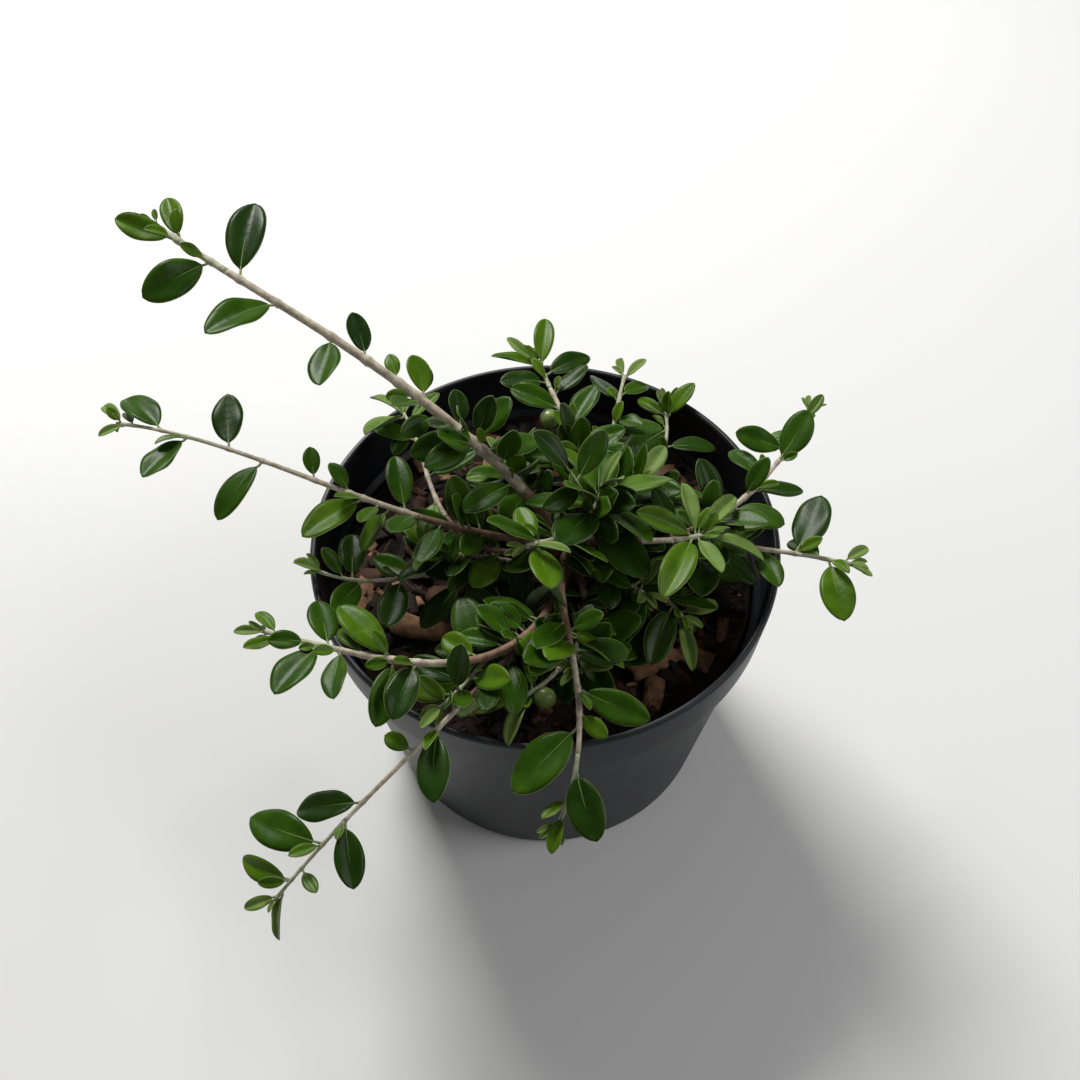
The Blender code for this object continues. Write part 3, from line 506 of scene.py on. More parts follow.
class Builder:
    """Gathers closed shapes into one mesh."""

    def __init__(self):
        self.points = []
        self.faces = []
        self.slots = []

    def add(self, points, faces, slot=0):
        start = len(self.points)
        self.points.extend(points)
        self.faces.extend(tuple(start + k for k in face) for face in faces)
        self.slots.extend(slot if isinstance(slot, list) else [slot] * len(faces))

    def make(self, name, slot, *finishes, smooth=True, replaced=()):
        mesh = bpy.data.meshes.new(name)
        mesh.from_pydata([tuple(point) for point in self.points], [], self.faces)
        for finish in finishes:
            mesh.materials.append(finish)
        mesh.polygons.foreach_set("material_index", self.slots)
        if smooth:
            mesh.shade_smooth()
        mesh.validate()
        piece = linked(name, mesh)
        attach(piece, "root")
        if replaced:
            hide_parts(*replaced)
        return piece


# Materials

def shader_material(name, roughness, specular=0.5, coat=0.0):
    finish = bpy.data.materials.new(name)
    finish.use_nodes = True
    tree = finish.node_tree
    shader = tree.nodes["Principled BSDF"]
    shader.inputs["Roughness"].default_value = roughness
    shader.inputs["Specular IOR Level"].default_value = specular
    shader.inputs["Coat Weight"].default_value = coat
    shader.inputs["Coat Roughness"].default_value = 0.2
    return finish, tree, shader


def noise_node(tree, scale, detail=4.0, rough=0.55, stretch=None):
    coords = tree.nodes.new("ShaderNodeTexCoord")
    texture = tree.nodes.new("ShaderNodeTexNoise")
    texture.inputs["Scale"].default_value = scale
    texture.inputs["Detail"].default_value = detail
    texture.inputs["Roughness"].default_value = rough
    if stretch:
        mapping = tree.nodes.new("ShaderNodeMapping")
        mapping.inputs["Scale"].default_value = stretch
        tree.links.new(coords.outputs["Object"], mapping.inputs["Vector"])
        tree.links.new(mapping.outputs["Vector"], texture.inputs["Vector"])
    else:
        tree.links.new(coords.outputs["Object"], texture.inputs["Vector"])
    return texture


def ramp_node(tree, source, stops):
    ramp = tree.nodes.new("ShaderNodeValToRGB")
    elements = ramp.color_ramp.elements
    while len(elements) < len(stops):
        elements.new(0.5)
    for element, (place, colour) in zip(elements, stops):
        element.position = place
        element.color = (*colour, 1.0)
    tree.links.new(source, ramp.inputs["Fac"])
    return ramp


def bump_node(tree, shader, height, strength, distance):
    """Relief from a height output, by a bump linked to the shader."""
    bump = tree.nodes.new("ShaderNodeBump")
    bump.inputs["Strength"].default_value = strength
    bump.inputs["Distance"].default_value = distance
    tree.links.new(height, bump.inputs["Height"])
    tree.links.new(bump.outputs["Normal"], shader.inputs["Normal"])


def rough_range(tree, shader, source, low, high):
    """Roughness between two values, led by a noise."""
    spread = tree.nodes.new("ShaderNodeMapRange")
    spread.inputs["To Min"].default_value = low
    spread.inputs["To Max"].default_value = high
    tree.links.new(source, spread.inputs["Value"])
    tree.links.new(spread.outputs["Result"], shader.inputs["Roughness"])


def mottled(name, deep, light, scale, rough, grain, depth, specular=0.5, coat=0.0, stops=(0.3, 0.7),
            stretch=None):
    """A surface of two colours mixed by noise, with uneven roughness and a fine grain of a given depth."""
    finish, tree, shader = shader_material(name, 0.5, specular, coat)
    patches = noise_node(tree, scale, stretch=stretch)
    ramp = ramp_node(tree, patches.outputs["Fac"], tuple(zip(stops, (deep, light))))
    tree.links.new(ramp.outputs["Color"], shader.inputs["Base Color"])
    rough_range(tree, shader, patches.outputs["Fac"], *rough)
    bump_node(tree, shader, noise_node(tree, grain, 5.0, 0.6, stretch).outputs["Fac"], 0.8, depth)
    return finish


# Pot

POT_FINE_SEGMENTS = 256
EDGE_ROUNDING = 0.0005


def fine_profile():
    """The pot's outline with its edges rounded off by arcs."""
    outline = pot_profile()
    rounded = [outline[0]]
    for before, corner, after in zip(outline, outline[1:], outline[2:]):
        here = Vector(corner)
        into = Vector(before) - here
        away = Vector(after) - here
        cut = min(EDGE_ROUNDING, into.length * 0.35, away.length * 0.35)
        start = here + into.normalized() * cut
        end = here + away.normalized() * cut
        for step in (0.0, 0.25, 0.5, 0.75, 1.0):
            rounded.append(tuple(start * (1 - step) ** 2 + here * 2 * step * (1 - step) + end * step ** 2))
    rounded.append(outline[-1])
    return rounded


def turned(outline, segments):
    """Points and faces of a solid turned from an outline about the pot's axis."""
    points = [point for radius, height in outline for point in flat_ring(radius, height, segments)]
    return points, capped_faces(len(outline), segments)


def pot_finish():
    finish, tree, shader = shader_material("charcoal_plastic", 0.5, 0.45)
    cloud = noise_node(tree, 22, 3.0)
    scuff = noise_node(tree, 160, 6.0, 0.7, (1.0, 1.0, 0.12))
    mix = tree.nodes.new("ShaderNodeMix")
    mix.inputs["Factor"].default_value = 0.4
    tree.links.new(cloud.outputs["Fac"], mix.inputs[2])
    tree.links.new(scuff.outputs["Fac"], mix.inputs[3])
    ramp = ramp_node(tree, mix.outputs[0], ((0.30, (0.007, 0.008, 0.011)), (0.72, (0.014, 0.016, 0.022))))
    tree.links.new(ramp.outputs["Color"], shader.inputs["Base Color"])
    rough_range(tree, shader, mix.outputs[0], 0.34, 0.60)
    grain = noise_node(tree, 1500, 3.0)
    bump_node(tree, shader, grain.outputs["Fac"], 0.35, 0.00006)
    return finish


def make_pot():
    builder = Builder()
    builder.add(*turned(fine_profile(), POT_FINE_SEGMENTS))
    pot = builder.make("nursery_pot", "pot_plastic", pot_finish(), replaced=("pot",))
    for k in range(DRAIN_HOLES):
        angle = 2 * math.pi * (k + 0.5) / DRAIN_HOLES
        bpy.ops.mesh.primitive_cylinder_add(vertices=32, radius=DRAIN_RADIUS, depth=4 * FLOOR, location=(
            DRAIN_RING_RADIUS * math.cos(angle), DRAIN_RING_RADIUS * math.sin(angle), FLOOR / 2))
        drill = bpy.context.object
        boolean = pot.modifiers.new("drain", "BOOLEAN")
        boolean.operation = "DIFFERENCE"
        boolean.object = drill
        mesh = bpy.data.meshes.new_from_object(pot.evaluated_get(bpy.context.evaluated_depsgraph_get()))
        pot.modifiers.clear()
        pot.data = mesh
        bpy.data.objects.remove(drill, do_unlink=True)
    pot.data.shade_smooth()
    pot.data.set_sharp_from_angle(angle=math.radians(40))


# Potting mix

SOIL_FINE_RINGS = 90
SOIL_FINE_SEGMENTS = 220
SOIL_LEVELS = 6
MULCH_COUNT = 900
PLANK_RISE = 0.0008
CHIP_COLUMNS = 7
CHIP_ROWS = 4
CHIP_LONGEST = 0.013
CHIP_SHARES = (0.14, 0.34, 0.52)
FIBRE_COUNT = 260


def mix_radius(height):
    """Outer radius of the mix at a height inside the pot."""
    slope = (BODY_TOP_RADIUS - FOOT_RADIUS) / (POT_HEIGHT - COLLAR_HEIGHT)
    return FOOT_RADIUS - WALL - 2 * GAP + slope * (height - FLOOR)


def crumb_height(x, y):
    """Soil surface with crumbs."""
    base = soil_height(x, y) - 0.0006
    crumbs = noise.noise(Vector((x * 420, y * 420, 3.1))) * 0.0007
    return base + crumbs + noise.noise(Vector((x * 1300, y * 1300, 7.7))) * 0.0003


def make_soil():
    """The filled mix, level by level up its side and then ring by ring to the middle of its top."""
    segments = SOIL_FINE_SEGMENTS
    rounding = 0.0014
    rings = [(mix_radius(FLOOR) - rounding, FLOOR + GAP)]
    rings.append((mix_radius(FLOOR + rounding), FLOOR + GAP + rounding))
    levels = [FLOOR + (SOIL_TOP - 0.003 - FLOOR) * k / SOIL_LEVELS for k in range(1, SOIL_LEVELS + 1)]
    rings += [(mix_radius(height), height) for height in levels]
    points = [point for radius, height in rings for point in flat_ring(radius, height, segments)]
    for ring in range(SOIL_FINE_RINGS):
        radius = mix_radius(SOIL_TOP) * (1 - ring / SOIL_FINE_RINGS)
        points += [(x, y, crumb_height(x, y)) for x, y, z in flat_ring(radius, 0.0, segments)]
    points.append((0, 0, crumb_height(0, 0)))
    rows = len(rings) + SOIL_FINE_RINGS
    last = (rows - 1) * segments
    faces = [tuple(reversed(range(segments)))] + band_faces(rows, segments)
    faces += [(last + k, last + (k + 1) % segments, len(points) - 1) for k in range(segments)]
    builder = Builder()
    builder.add(points, faces)
    finish = mottled("dark_mix", (0.006, 0.004, 0.003), (0.035, 0.020, 0.012), 260, (0.75, 0.95), 1500,
                     0.0004, 0.25, stops=(0.30, 0.75))
    builder.make("dark_mix", "bark_mix", finish, replaced=("potting_mix",))


def bark_chip(rng, spot, length, width, thickness, turn, lean, roll):
    """Points and faces of a split bark chip with ragged ends and grain ridges along it."""
    columns = CHIP_COLUMNS
    rows = CHIP_ROWS
    place = Matrix.Rotation(turn, 3, "Z") @ Matrix.Rotation(lean, 3, "Y") @ Matrix.Rotation(roll, 3, "X")
    points = []
    ridge = [rng.uniform(-1, 1) for k in range(rows + 1)]
    ends = [(rng.uniform(-0.16, 0.04), rng.uniform(-0.16, 0.04)) for k in range(rows + 1)]
    bend = rng.uniform(-0.06, 0.06)
    taper = rng.uniform(-0.25, 0.25)
    for level in (1, -1):
        for column in range(columns + 1):
            u = column / columns * 2 - 1
            for row in range(rows + 1):
                v = row / rows * 2 - 1
                reach = u * (1 + (ends[row][0] if u < 0 else ends[row][1]) * abs(u) ** 3)
                x = reach * length / 2
                y = v * width / 2 * (1 + taper * u) + bend * length * u * u
                swell = 1 - 0.5 * abs(v) ** 3 - 0.35 * abs(u) ** 5
                z = level * thickness / 2 * swell + ridge[row] * thickness * 0.13
                grain = Vector((x * 500 + spot.x * 900, y * 1800, level + spot.y * 900))
                z += noise.noise(grain) * thickness * 0.2
                points.append(spot + place @ Vector((x, y, z)))
    faces = []
    layer = (columns + 1) * (rows + 1)
    for column in range(columns):
        for row in range(rows):
            a = column * (rows + 1) + row
            faces.append((a, a + rows + 1, a + rows + 2, a + 1))
            faces.append((a + layer, a + layer + 1, a + layer + rows + 2, a + layer + rows + 1))
    rim = list(range(rows))
    rim += [column * (rows + 1) + rows for column in range(columns)]
    rim += [columns * (rows + 1) + rows - row for row in range(rows)]
    rim += [(columns - column) * (rows + 1) for column in range(columns)]
    for a, b in zip(rim, rim[1:] + rim[:1]):
        faces.append((a, b, b + layer, a + layer))
    return points, faces


def make_mulch():
    """Bark chips in three tones: the large ones in their places, and small ones strewn between them."""
    rng = random.Random(31)
    kinds = [Builder() for k in range(3)]
    edge = mix_radius(SOIL_TOP) - 0.0015
    for x, y, length, width, turn in PLANKS:
        spot = Vector((x, y, soil_height(x, y) + PLANK_RISE))
        kinds[0].add(*bark_chip(rng, spot, length, width, CHIP_THICKNESS, math.radians(turn), 0.03, 0.02))
    for k in range(MULCH_COUNT):
        away = edge * math.sqrt(rng.random())
        angle = rng.uniform(0, 2 * math.pi)
        length = min(0.0022 * math.exp(rng.gauss(0.65, 0.5)), CHIP_LONGEST)
        away = min(away, edge - length * 0.45)
        spot = Vector((away * math.cos(angle), away * math.sin(angle), 0))
        spot.z = soil_height(spot.x, spot.y) + rng.uniform(-0.0006, 0.0006)
        near = math.hypot(spot.x - TRUNK_FOOT.x, spot.y - TRUNK_FOOT.y)
        on_plank = any(math.hypot(spot.x - plank[0], spot.y - plank[1]) < plank[2] * 0.42 for plank in PLANKS)
        if on_plank or near < 0.007 + length / 2:
            continue
        thick = min(length * rng.uniform(0.15, 0.3), CHIP_THICKNESS)
        kind = rng.choices((0, 1, 2), CHIP_SHARES)[0]
        kinds[kind].add(*bark_chip(rng, spot, length, length * rng.uniform(0.28, 0.6), thick,
                                   rng.uniform(0, 2 * math.pi), rng.gauss(0, 0.16), rng.gauss(0, 0.25)))
    tones = (("chip_tan", (0.130, 0.062, 0.030), (0.42, 0.230, 0.125)),
             ("chip_red", (0.030, 0.011, 0.006), (0.105, 0.042, 0.020)),
             ("chip_dark", (0.006, 0.004, 0.003), (0.030, 0.017, 0.011)))
    for builder, (name, deep, light) in zip(kinds, tones):
        finish = mottled(name, deep, light, 420, (0.6, 0.9), 2600, 0.0002, 0.3, stops=(0.28, 0.72))
        builder.make(name, "bark_mix", finish)


def make_fibres():
    """Thin fibres that lie bent on the mix."""
    rng = random.Random(37)
    builder = Builder()
    edge = mix_radius(SOIL_TOP) - 0.006
    for k in range(FIBRE_COUNT):
        away = edge * math.sqrt(rng.random())
        angle = rng.uniform(0, 2 * math.pi)
        point = Vector((away * math.cos(angle), away * math.sin(angle), 0))
        heading = rng.uniform(0, 2 * math.pi)
        ahead = Vector((math.cos(heading), math.sin(heading), 0))
        stations = []
        radius = rng.uniform(0.00008, 0.0002)
        for step in range(5):
            point = point + ahead * rng.uniform(0.0008, 0.0016)
            point.z = soil_height(point.x, point.y) + 0.0005
            heading += rng.gauss(0, 0.35)
            ahead = Vector((math.cos(heading), math.sin(heading), 0))
            stations.append((point, radius, ahead))
        builder.add(*tube(stations, 4))
    finish = mottled("fibre", (0.05, 0.03, 0.018), (0.16, 0.10, 0.06), 500, (0.7, 0.9), 2000, 0.0001)
    builder.make("fibre", "bark_mix", finish)


# Bark

TRUNK_FINE_STEPS = 36
FINE_STEP = 0.0011
KNOT_LENGTH = 0.0009
KNOT_SWELL = 0.28
TUFT_SWELL = 1.1
TUFT_BARK_END = 0.25
TAN_END = 0.80


def relief_tube(stations, sides, depth, phase):
    """A tube whose skin has lengthwise ridges and small lumps."""
    points, faces = tube(stations, sides)
    for ring, (centre, radius, ahead) in enumerate(stations):
        for k in range(sides):
            index = ring * sides + k
            out = points[index] - centre
            lump = noise.noise(Vector((k * 0.9 + phase, centre.length * 260, phase)))
            lump += 0.5 * noise.noise(Vector((k * 2.3 + phase, centre.length * 900, phase + 5)))
            points[index] = centre + out * (1 + depth * lump)
    return points, faces


def fine_stations(shoot, start, end, radius_start, radius_end, nodes):
    """Close stations along a limb, swollen where its leaves stand."""
    length = (limb_point(shoot, end) - limb_point(shoot, start)).length
    steps = max(3, round(length / FINE_STEP))
    pace = length / (end - start)
    stations = []
    for k in range(steps + 1):
        t = start + (end - start) * k / steps
        point, along, up, left = limb_frame(shoot, t)
        radius = radius_start + (radius_end - radius_start) * k / steps
        knot = sum(math.exp(-((t - place) * pace / KNOT_LENGTH) ** 2) for place in nodes)
        stations.append((point, radius * (1 + KNOT_SWELL * min(knot, 1.0)), along))
    return stations


def trunk_stations():
    """Close stations up the trunk, with its radius read off the profile."""
    stations = []
    for step in range(TRUNK_FINE_STEPS + 1):
        place = step / TRUNK_FINE_STEPS
        for (a, radius_a), (b, radius_b) in zip(TRUNK_PROFILE, TRUNK_PROFILE[1:]):
            if a <= place <= b:
                radius = radius_a + (radius_b - radius_a) * (place - a) / (b - a)
        stations.append((TRUNK_FOOT.lerp(TRUNK_TOP, place), radius, Vector((0, 0, 1))))
    return stations


def make_trunk_and_limbs():
    """Trunk, and each limb in three stretches: barked bough, pale stem and silvery tip."""
    trunk = Builder()
    limbs = Builder()
    tan = Builder()
    tips = Builder()
    trunk.add(*relief_tube(trunk_stations(), 28, 0.10, 1.7))
    for number, shoot in enumerate(SHOOTS):
        nodes = [] if isinstance(shoot.leaves, Whorl) else [mark[0] for mark in shoot.leaves]
        girth = shoot.girth
        bark_end = shoot.bare or TUFT_BARK_END
        foot = girth * (BOUGH_SWELL if shoot.bare else TUFT_SWELL)
        taper = girth * STEM_TAPER
        middle = girth + (taper - girth) * (TAN_END - bark_end) / (1 - bark_end)
        limbs.add(*relief_tube(fine_stations(shoot, 0.02, bark_end, foot, girth, ()), 12, 0.09, number))
        tan.add(*relief_tube(fine_stations(shoot, bark_end, TAN_END, girth, middle, nodes), 10, 0.06, number))
        tips.add(*relief_tube(fine_stations(shoot, TAN_END, 1.0, middle, taper, nodes), 10, 0.05, number))
    boughs = [name for name in frame["nodes"] if name.endswith("_bough")]
    masses = [name for name in frame["nodes"] if name.endswith("_foliage")]
    spread = (0.28, 0.72)
    bark = mottled("brown_bark", (0.040, 0.020, 0.012), (0.155, 0.088, 0.055), 420, (0.6, 0.85), 1600, 0.0003,
                   0.3, stops=(0.28, 0.75), stretch=(1, 1, 0.5))
    red = mottled("red_bark", (0.13, 0.070, 0.042), (0.34, 0.21, 0.145), 500, (0.5, 0.75), 1700, 0.0002,
                  0.35, stops=spread)
    buff = mottled("buff_stem", (0.30, 0.25, 0.18), (0.68, 0.60, 0.47), 450, (0.55, 0.8), 1900, 0.0002,
                   0.3, stops=spread)
    silver = mottled("silver_stem", (0.28, 0.30, 0.17), (0.60, 0.60, 0.45), 450, (0.6, 0.85), 2100, 0.0002,
                     0.3, stops=spread)
    trunk.make("trunk_bark", "bark", bark, replaced=("trunk",))
    limbs.make("bough_bark", "bark", red, replaced=boughs)
    tan.make("stems", "foliage", buff, replaced=masses)
    tips.make("stem_tips", "foliage", silver)


# Leaves

LEAF_FINE_ROWS = 22
SMALL_LEAF_ROWS = 14
LEAF_FINE_HALF_COLUMNS = 4
BLADE_THICKNESS = 0.00028
VEIN_PAIRS = 7
VEIN_DEPTH = 0.00013
RIB_SIDES = 5
MARGIN_RADIUS = 0.00011
INNER_LEAF_COUNT = 11
INNER_REACH = 0.055

Shape = namedtuple("Shape", "sway twist wave phase")


def leaf_shape(rng):
    return Shape(rng.gauss(0, 0.05), rng.gauss(0, 0.16), rng.uniform(0.0, 0.10), rng.uniform(0, 6.28))


def blade_point(leaf, shape, s, w):
    """Point on a blade's middle surface at share s of its length and w from its left edge to its right,
    with the direction out of its face."""
    centre, face = blade_frame(leaf, s)
    across = leaf.along.cross(leaf.face)
    twist = shape.twist * s
    side = across * math.cos(twist) + face * math.sin(twist)
    out = face * math.cos(twist) - across * math.sin(twist)
    centre = centre + across * (shape.sway * (leaf.length - leaf.stalk) * s * s)
    half = max(PETIOLE_HALF_WIDTH * 0.7, half_width(s) * leaf.width)
    if s > 0.999:
        half = 0.00012
    crease = math.sqrt(w * w + 0.012) - 0.1095
    rise = half * (math.sin(leaf.fold) * crease - 0.13 * abs(w) ** 4)
    rise += shape.wave * half * w * w * math.sin(9 * s + shape.phase + (1.3 if w > 0 else 0.0))
    vein = abs(math.sin(math.pi * VEIN_PAIRS * (s * 1.05 - 0.30 * abs(w) ** 1.2)))
    fade = min(1.0, 5 * abs(w)) * (1 - abs(w) ** 4) * min(1.0, 6 * (1 - s))
    rise += VEIN_DEPTH * (vein - 0.6) * fade * min(1.0, leaf.length / 0.014)
    return centre + side * (w * half * math.cos(leaf.fold)) + out * rise, out


def leaf_blade(leaf, shape, rows):
    """Points, faces and slots of a closed blade, its upper face in slot 0 and its underside in slot 1."""
    columns = LEAF_FINE_HALF_COLUMNS
    count = 2 * columns + 1
    points = []
    for row in range(rows + 1):
        s = row / rows
        upper = []
        lower = []
        for column in range(-columns, columns + 1):
            w = column / columns
            point, out = blade_point(leaf, shape, s, w)
            half = BLADE_THICKNESS / 2 * (1 - 0.55 * abs(w) ** 3)
            upper.append(point + out * half)
            lower.append(point - out * half)
        points.extend(upper)
        points.extend(reversed(lower))
    ring = 2 * count
    faces = []
    slots = []
    for row in range(rows):
        for k in range(ring):
            a = row * ring + k
            b = row * ring + (k + 1) % ring
            faces.append((a, a + ring, b + ring, b))
            slots.append(0 if k < count - 1 else 1)
    faces.append(tuple(range(ring)))
    faces.append(tuple(rows * ring + k for k in reversed(range(ring))))
    slots += [1, 1]
    return points, faces, slots


def path_tube(points, radii, sides):
    """A closed tube along points."""
    stations = []
    for k, point in enumerate(points):
        ahead = points[min(k + 1, len(points) - 1)] - points[max(k - 1, 0)]
        stations.append((point, radii[k], ahead.normalized()))
    return tube(stations, sides)


def leaf_trim(leaf, shape, rows, ribs, margins, stalks):
    """A leaf's stalk, its rib along the middle and the thin pale margin round it."""
    base, out = blade_point(leaf, shape, 0.04, 0.0)
    middle = (leaf.root + base) / 2 - leaf.face * leaf.stalk * 0.12
    girth = 0.00040 * min(1.0, 0.5 + leaf.length / 0.036)
    stalks.add(*path_tube([leaf.root, middle, base], [girth * 1.15, girth, girth * 0.8], 7))
    line = [blade_point(leaf, shape, 0.02 + 0.93 * k / rows, 0.0)[0] for k in range(rows + 1)]
    radii = [girth * 0.72 * (1 - 0.80 * k / rows) for k in range(rows + 1)]
    ribs.add(*path_tube(line, radii, RIB_SIDES))
    left = [blade_point(leaf, shape, 0.05 + 0.95 * k / rows, -1.0)[0] for k in range(rows + 1)]
    right = [blade_point(leaf, shape, 1.0 - 0.95 * k / rows, 1.0)[0] for k in range(rows + 1)]
    rim = left + right[1:]
    margins.add(*path_tube(rim, [MARGIN_RADIUS + 0.00003 * leaf.young] * len(rim), 3))


def tip_leaves(shoot, rng):
    """Small young leaves that close round a shoot's tip."""
    leaves = []
    for k in range(3):
        around = rng.uniform(0, 360) if k == 2 else 180 * k + rng.uniform(-25, 25)
        leaves.append(grown_leaf(rng, limb_frame(shoot, 0.985), around, rng.uniform(14, 32),
                                 rng.uniform(0.005, 0.0085), 0.9, False, shoot.girth * STEM_TAPER))
    return leaves


def axil_leaves(shoot, rng):
    """Small leaves in the axils of a shoot's larger ones."""
    if isinstance(shoot.leaves, Whorl):
        places = [(rng.uniform(0.5, 0.95), rng.choice((-50, 50))) for k in range(5)]
    else:
        places = [mark[:2] for mark in shoot.leaves if mark[2] > 0.014 and rng.random() < 0.55]
    leaves = []
    for place, turn in places:
        lean = rng.uniform(10, 60)
        around = lean if turn > 0 else 180 - lean
        leaves.append(grown_leaf(rng, limb_frame(shoot, place), around, rng.uniform(28, 50),
                                 rng.uniform(0.0055, 0.0105), 0.45, False, shoot.girth))
    return leaves


def inner_leaves(shoot, rng):
    """Leaves on the inner stretch of a limb, which fill the crown above the pot."""
    end = 0.95 if isinstance(shoot.leaves, Whorl) else max(shoot.bare, 0.45)
    leaves = []
    for k in range(INNER_LEAF_COUNT):
        frame = limb_frame(shoot, end * rng.uniform(0.35, 1.0))
        if frame[0].xy.length < INNER_REACH:
            leaves.append(grown_leaf(rng, frame, rng.uniform(-30, 210), rng.uniform(45, 85),
                                     rng.uniform(0.012, 0.018), 0.0, False, shoot.girth * BOUGH_SWELL))
    return leaves


def carried_leaves(shoot, neighbours):
    """Twigs and leaves of one mass, by the same rule and seed as its solid."""
    rng = random.Random(shoot.seed)
    owner = shoot.name
    twigs = []
    if isinstance(shoot.leaves, Whorl):
        leaves = whorled_leaves(shoot, rng)
        for stations, twig_leaves in side_twigs(shoot, rng):
            twig = tube(stations, TWIG_SIDES)
            if not neighbours.touch(*twig, apart_from=(owner,)):
                neighbours.add(owner, *twig)
                twigs.append(stations)
                leaves.extend(twig_leaves)
    else:
        leaves = marked_leaves(shoot, rng)
    for place, turn in shoot.fruit:
        neighbours.add(owner, *ball_shell(berry_centre(shoot, place, turn), BERRY_RADIUS))
    kept = []
    for leaf in leaves:
        leaf = clear_leaf(leaf, owner, neighbours)
        if leaf:
            neighbours.add(owner, *leaf_shell(leaf, from_root=False))
            kept.append(leaf)
    return twigs, kept


def berry_centre(shoot, place, turn):
    point, along, up, left = limb_frame(shoot, place)
    swing = math.radians(turn)
    direction = (along * math.cos(swing) + left * math.sin(swing) + Vector((0, 0, -0.25))).normalized()
    return point + direction * STALK_LENGTH


def ball_shell(centre, radius, subdivisions=1):
    ball = bmesh.new()
    bmesh.ops.create_icosphere(ball, subdivisions=subdivisions, radius=radius)
    points = [vert.co + centre for vert in ball.verts]
    faces = [tuple(vert.index for vert in face.verts) for face in ball.faces]
    ball.free()
    return points, faces


def make_fruit():
    """Unripe fruit with dried sepals, on short stalks."""
    berries = Builder()
    sepals = Builder()
    for shoot in SHOOTS:
        for place, turn in shoot.fruit:
            point = limb_point(shoot, place)
            centre = berry_centre(shoot, place, turn)
            away = (centre - point).normalized()
            berries.add(*ball_shell(centre, BERRY_RADIUS, 4))
            sepals.add(*path_tube([point, centre], [STALK_RADIUS, 0.0005], 6))
            side = away.orthogonal().normalized()
            for k in range(5):
                out = Matrix.Rotation(2 * math.pi * k / 5, 3, away) @ side
                tip = centre + away * BERRY_RADIUS * 1.12 + out * 0.0004
                foot = centre + away * BERRY_RADIUS * 0.90 + out * 0.0013
                sepals.add(*path_tube([foot, tip], [0.0005, 0.00015], 5))
    berry = mottled("unripe_fruit", (0.10, 0.17, 0.035), (0.24, 0.33, 0.09), 300, (0.3, 0.45), 2200, 0.00005,
                    coat=0.2)
    dry = mottled("dry_sepal", (0.10, 0.06, 0.03), (0.24, 0.17, 0.09), 900, (0.6, 0.8), 2200, 0.0001)
    berries.make("fruit", "foliage", berry)
    sepals.make("fruit_sepals", "foliage", dry)


def cad_shell(name):
    mesh = frame["nodes"][name].data
    return [vert.co.copy() for vert in mesh.vertices], [tuple(face.vertices) for face in mesh.polygons]


def placed_pieces():
    """Pot, mix, trunk and limbs, which the leaves keep clear of."""
    neighbours = Neighbours()
    for name in ("pot", "potting_mix", "trunk"):
        neighbours.add(name, *cad_shell(name))
    for shoot in SHOOTS:
        if shoot.bare:
            neighbours.add(shoot.name, *cad_shell(shoot.name + "_bough"))
        stations = limb_stations(shoot, max(shoot.bare, 0.12), 1.0, shoot.girth, shoot.girth * STEM_TAPER)
        neighbours.add(shoot.name, *tube(stations, STEM_SIDES))
    return neighbours


def leaf_tint(leaf, pick):
    """Name of a leaf's tint, by its age, its size and its height in the crown. The split by height paints
    shade and light: leaves low in the crown mostly take the deep tint as painted shade, and those high in it
    the mid and bright tints as painted light.
    """
    if leaf.young > 0.6:
        return "young"
    if leaf.young > 0.2 or leaf.length < 0.011:
        return "bright"
    # Painted shade and light: above this height most leaves take the mid and bright tints, below it most take
    # the deep tint.
    if leaf.root.z > 0.102:
        return "mid" if pick < 0.68 else ("bright" if pick < 0.80 else "deep")
    return "deep" if pick < 0.55 else "mid"


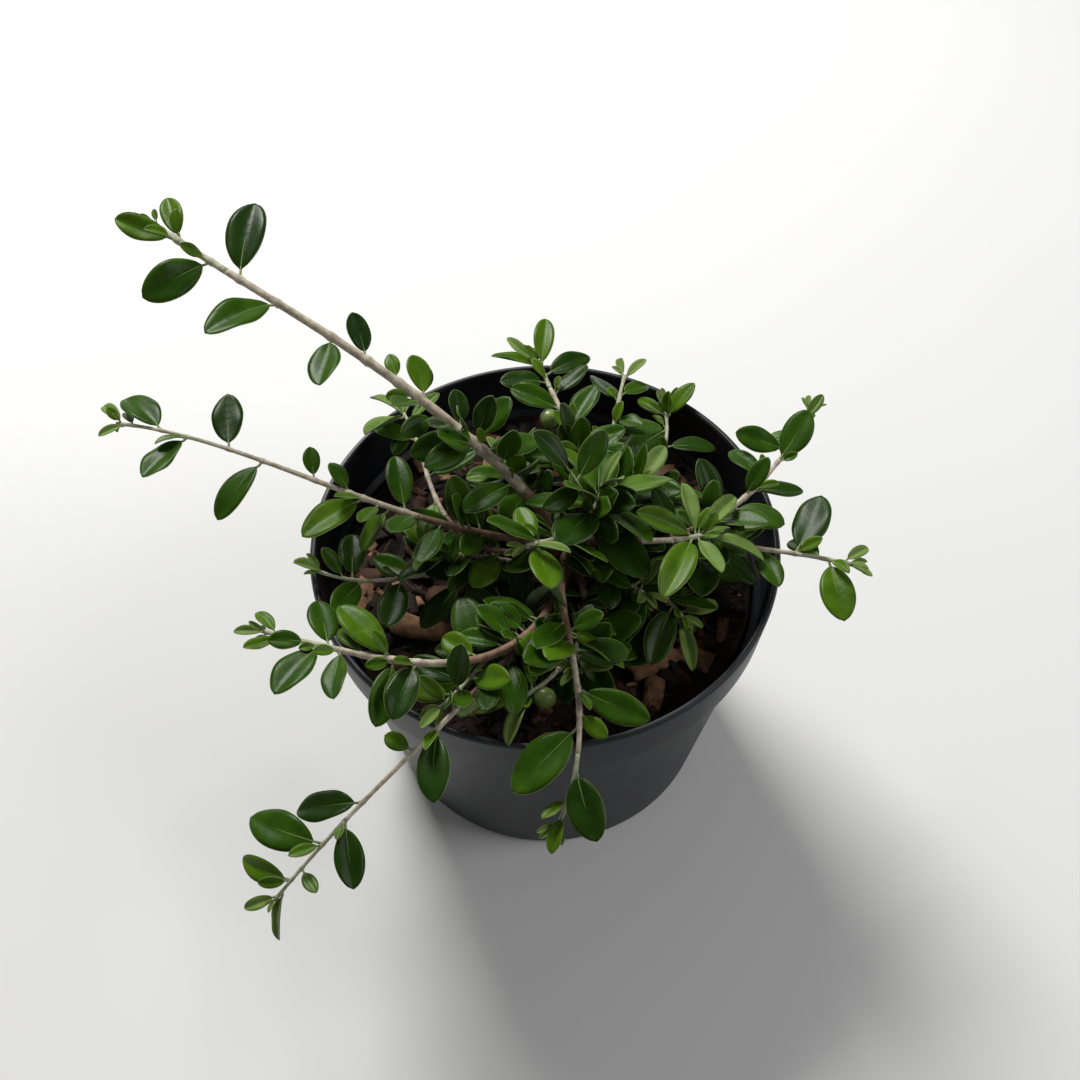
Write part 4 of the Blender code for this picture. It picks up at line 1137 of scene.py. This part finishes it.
def make_foliage():
    neighbours = placed_pieces()
    grown = [(shoot, *carried_leaves(shoot, neighbours)) for shoot in SHOOTS]
    rng = random.Random(101)
    tints = {"deep": Builder(), "mid": Builder(), "bright": Builder(), "young": Builder()}
    ribs = Builder()
    margins = Builder()
    stalks = Builder()
    twigs = Builder()
    for shoot, stations_list, leaves in grown:
        for stations in stations_list:
            line = [station[0] for station in stations]
            twigs.add(*path_tube(line, [station[1] for station in stations], 8))
        small = tip_leaves(shoot, rng) + axil_leaves(shoot, rng) + inner_leaves(shoot, rng)
        extra = [leaf for leaf in (clear_leaf(leaf, shoot.name, neighbours) for leaf in small) if leaf]
        for leaf in extra:
            neighbours.add(shoot.name, *leaf_shell(leaf, from_root=False))
        for leaf in leaves + extra:
            shape = leaf_shape(rng)
            rows = LEAF_FINE_ROWS if leaf.length > 0.012 else SMALL_LEAF_ROWS
            tints[leaf_tint(leaf, rng.random())].add(*leaf_blade(leaf, shape, rows))
            leaf_trim(leaf, shape, rows, ribs, margins, stalks)
    under = mottled("leaf_underside", (0.11, 0.17, 0.085), (0.20, 0.27, 0.15), 200, (0.6, 0.8), 2400, 0.00015,
                    0.3)
    # Upper-face tints. Since leaf_tint deals them out by height, the deep tint partly stands for painted
    # shade and the bright one partly for painted light.
    tones = {"deep": ((0.009, 0.030, 0.0015), (0.019, 0.055, 0.003)),
             "mid": ((0.018, 0.056, 0.0015), (0.038, 0.100, 0.003)),
             "bright": ((0.045, 0.110, 0.003), (0.090, 0.180, 0.006)),
             "young": ((0.10, 0.18, 0.03), (0.21, 0.31, 0.08))}
    for name, builder in tints.items():
        rough = (0.45, 0.65) if name == "young" else (0.24, 0.38)
        upper = mottled("leaf_" + name, *tones[name], 140, rough, 1800, 0.00008, 0.16)
        builder.make("leaves_" + name, "foliage", upper, under)
    pale = mottled("leaf_rib", (0.08, 0.15, 0.02), (0.15, 0.24, 0.045), 300, (0.45, 0.6), 2000, 0.00005)
    cream = mottled("leaf_margin", (0.11, 0.17, 0.03), (0.20, 0.27, 0.065), 300, (0.5, 0.7), 2000, 0.00005)
    stalk = mottled("leaf_stalk", (0.15, 0.19, 0.07), (0.30, 0.33, 0.16), 400, (0.5, 0.7), 2000, 0.0001)
    ribs.make("leaf_ribs", "foliage", pale)
    margins.make("leaf_margins", "foliage", cream)
    stalks.make("leaf_stalks", "foliage", stalk)
    twigs.make("twigs", "foliage", stalk)


# Stage, light and camera

LENS_PIXELS = 1400.0
FRAME_PIXELS = 1080.0
SENSOR = 36.0
CAMERA_ELEVATION = 54.3
CAMERA_DISTANCE = 0.417
CAMERA_YAW = 0.2
CAMERA_PITCH = -0.1
CAMERA_ROLL = 0.8
FLOOR_HALF_WIDTH = 4.0
LIGHT_TARGET = Vector((0, 0, 0.1))


def make_camera():
    """Camera at the photograph's angle, aimed at the middle of the pot's rim."""
    elevation = math.radians(CAMERA_ELEVATION)
    back = Vector((0, -math.cos(elevation), math.sin(elevation)))
    forward = -back
    right = Vector((1, 0, 0))
    up = right.cross(forward)
    turn = (Matrix.Rotation(math.radians(CAMERA_ROLL), 3, forward)
            @ Matrix.Rotation(math.radians(CAMERA_YAW), 3, up)
            @ Matrix.Rotation(math.radians(CAMERA_PITCH), 3, right))
    columns = Matrix((turn @ right, turn @ up, turn @ back)).transposed()
    data = bpy.data.cameras.new("camera")
    data.sensor_width = SENSOR
    data.lens = LENS_PIXELS / FRAME_PIXELS * SENSOR
    data.clip_start = 0.01
    data.clip_end = 20
    camera = linked("camera", data)
    place = back * CAMERA_DISTANCE + Vector((0, 0, POT_HEIGHT))
    camera.matrix_world = Matrix.Translation(place) @ columns.to_4x4()
    bpy.context.scene.camera = camera


def make_floor():
    mesh = bpy.data.meshes.new("floor")
    size = FLOOR_HALF_WIDTH
    corners = [(-size, -size, 0), (size, -size, 0), (size, size, 0), (-size, size, 0)]
    mesh.from_pydata(corners, [], [(0, 1, 2, 3)])
    floor = linked("floor", mesh)
    finish, tree, shader = shader_material("pale_floor", 0.9, 0.1)
    grain = noise_node(tree, 3, 2.0)
    ramp = ramp_node(tree, grain.outputs["Fac"], ((0.3, (0.86, 0.86, 0.86)), (0.7, (0.89, 0.89, 0.89))))
    tree.links.new(ramp.outputs["Color"], shader.inputs["Base Color"])
    mesh.materials.append(finish)


def area_light(name, place, size, power, colour):
    data = bpy.data.lights.new(name, "AREA")
    data.size = size
    data.energy = power
    data.color = colour
    lamp = linked(name, data)
    lamp.location = place
    lamp.rotation_euler = (LIGHT_TARGET - Vector(place)).to_track_quat("-Z", "Y").to_euler()


def make_light():
    world = bpy.data.worlds.new("studio")
    bpy.context.scene.world = world
    world.use_nodes = True
    sky = world.node_tree.nodes["Background"]
    sky.inputs["Color"].default_value = (1.0, 1.0, 1.0, 1.0)
    sky.inputs["Strength"].default_value = 0.14
    area_light("key", (-0.35, 0.80, 0.95), 0.45, 16.0, (1.0, 0.995, 0.96))
    area_light("fill", (0.9, -0.2, 0.8), 0.5, 3.5, (1.0, 1.0, 1.0))
    bpy.context.scene.view_settings.view_transform = "Standard"


make_camera()
make_floor()
make_light()
make_pot()
make_soil()
make_mulch()
make_fibres()
make_trunk_and_limbs()
make_foliage()
make_fruit()
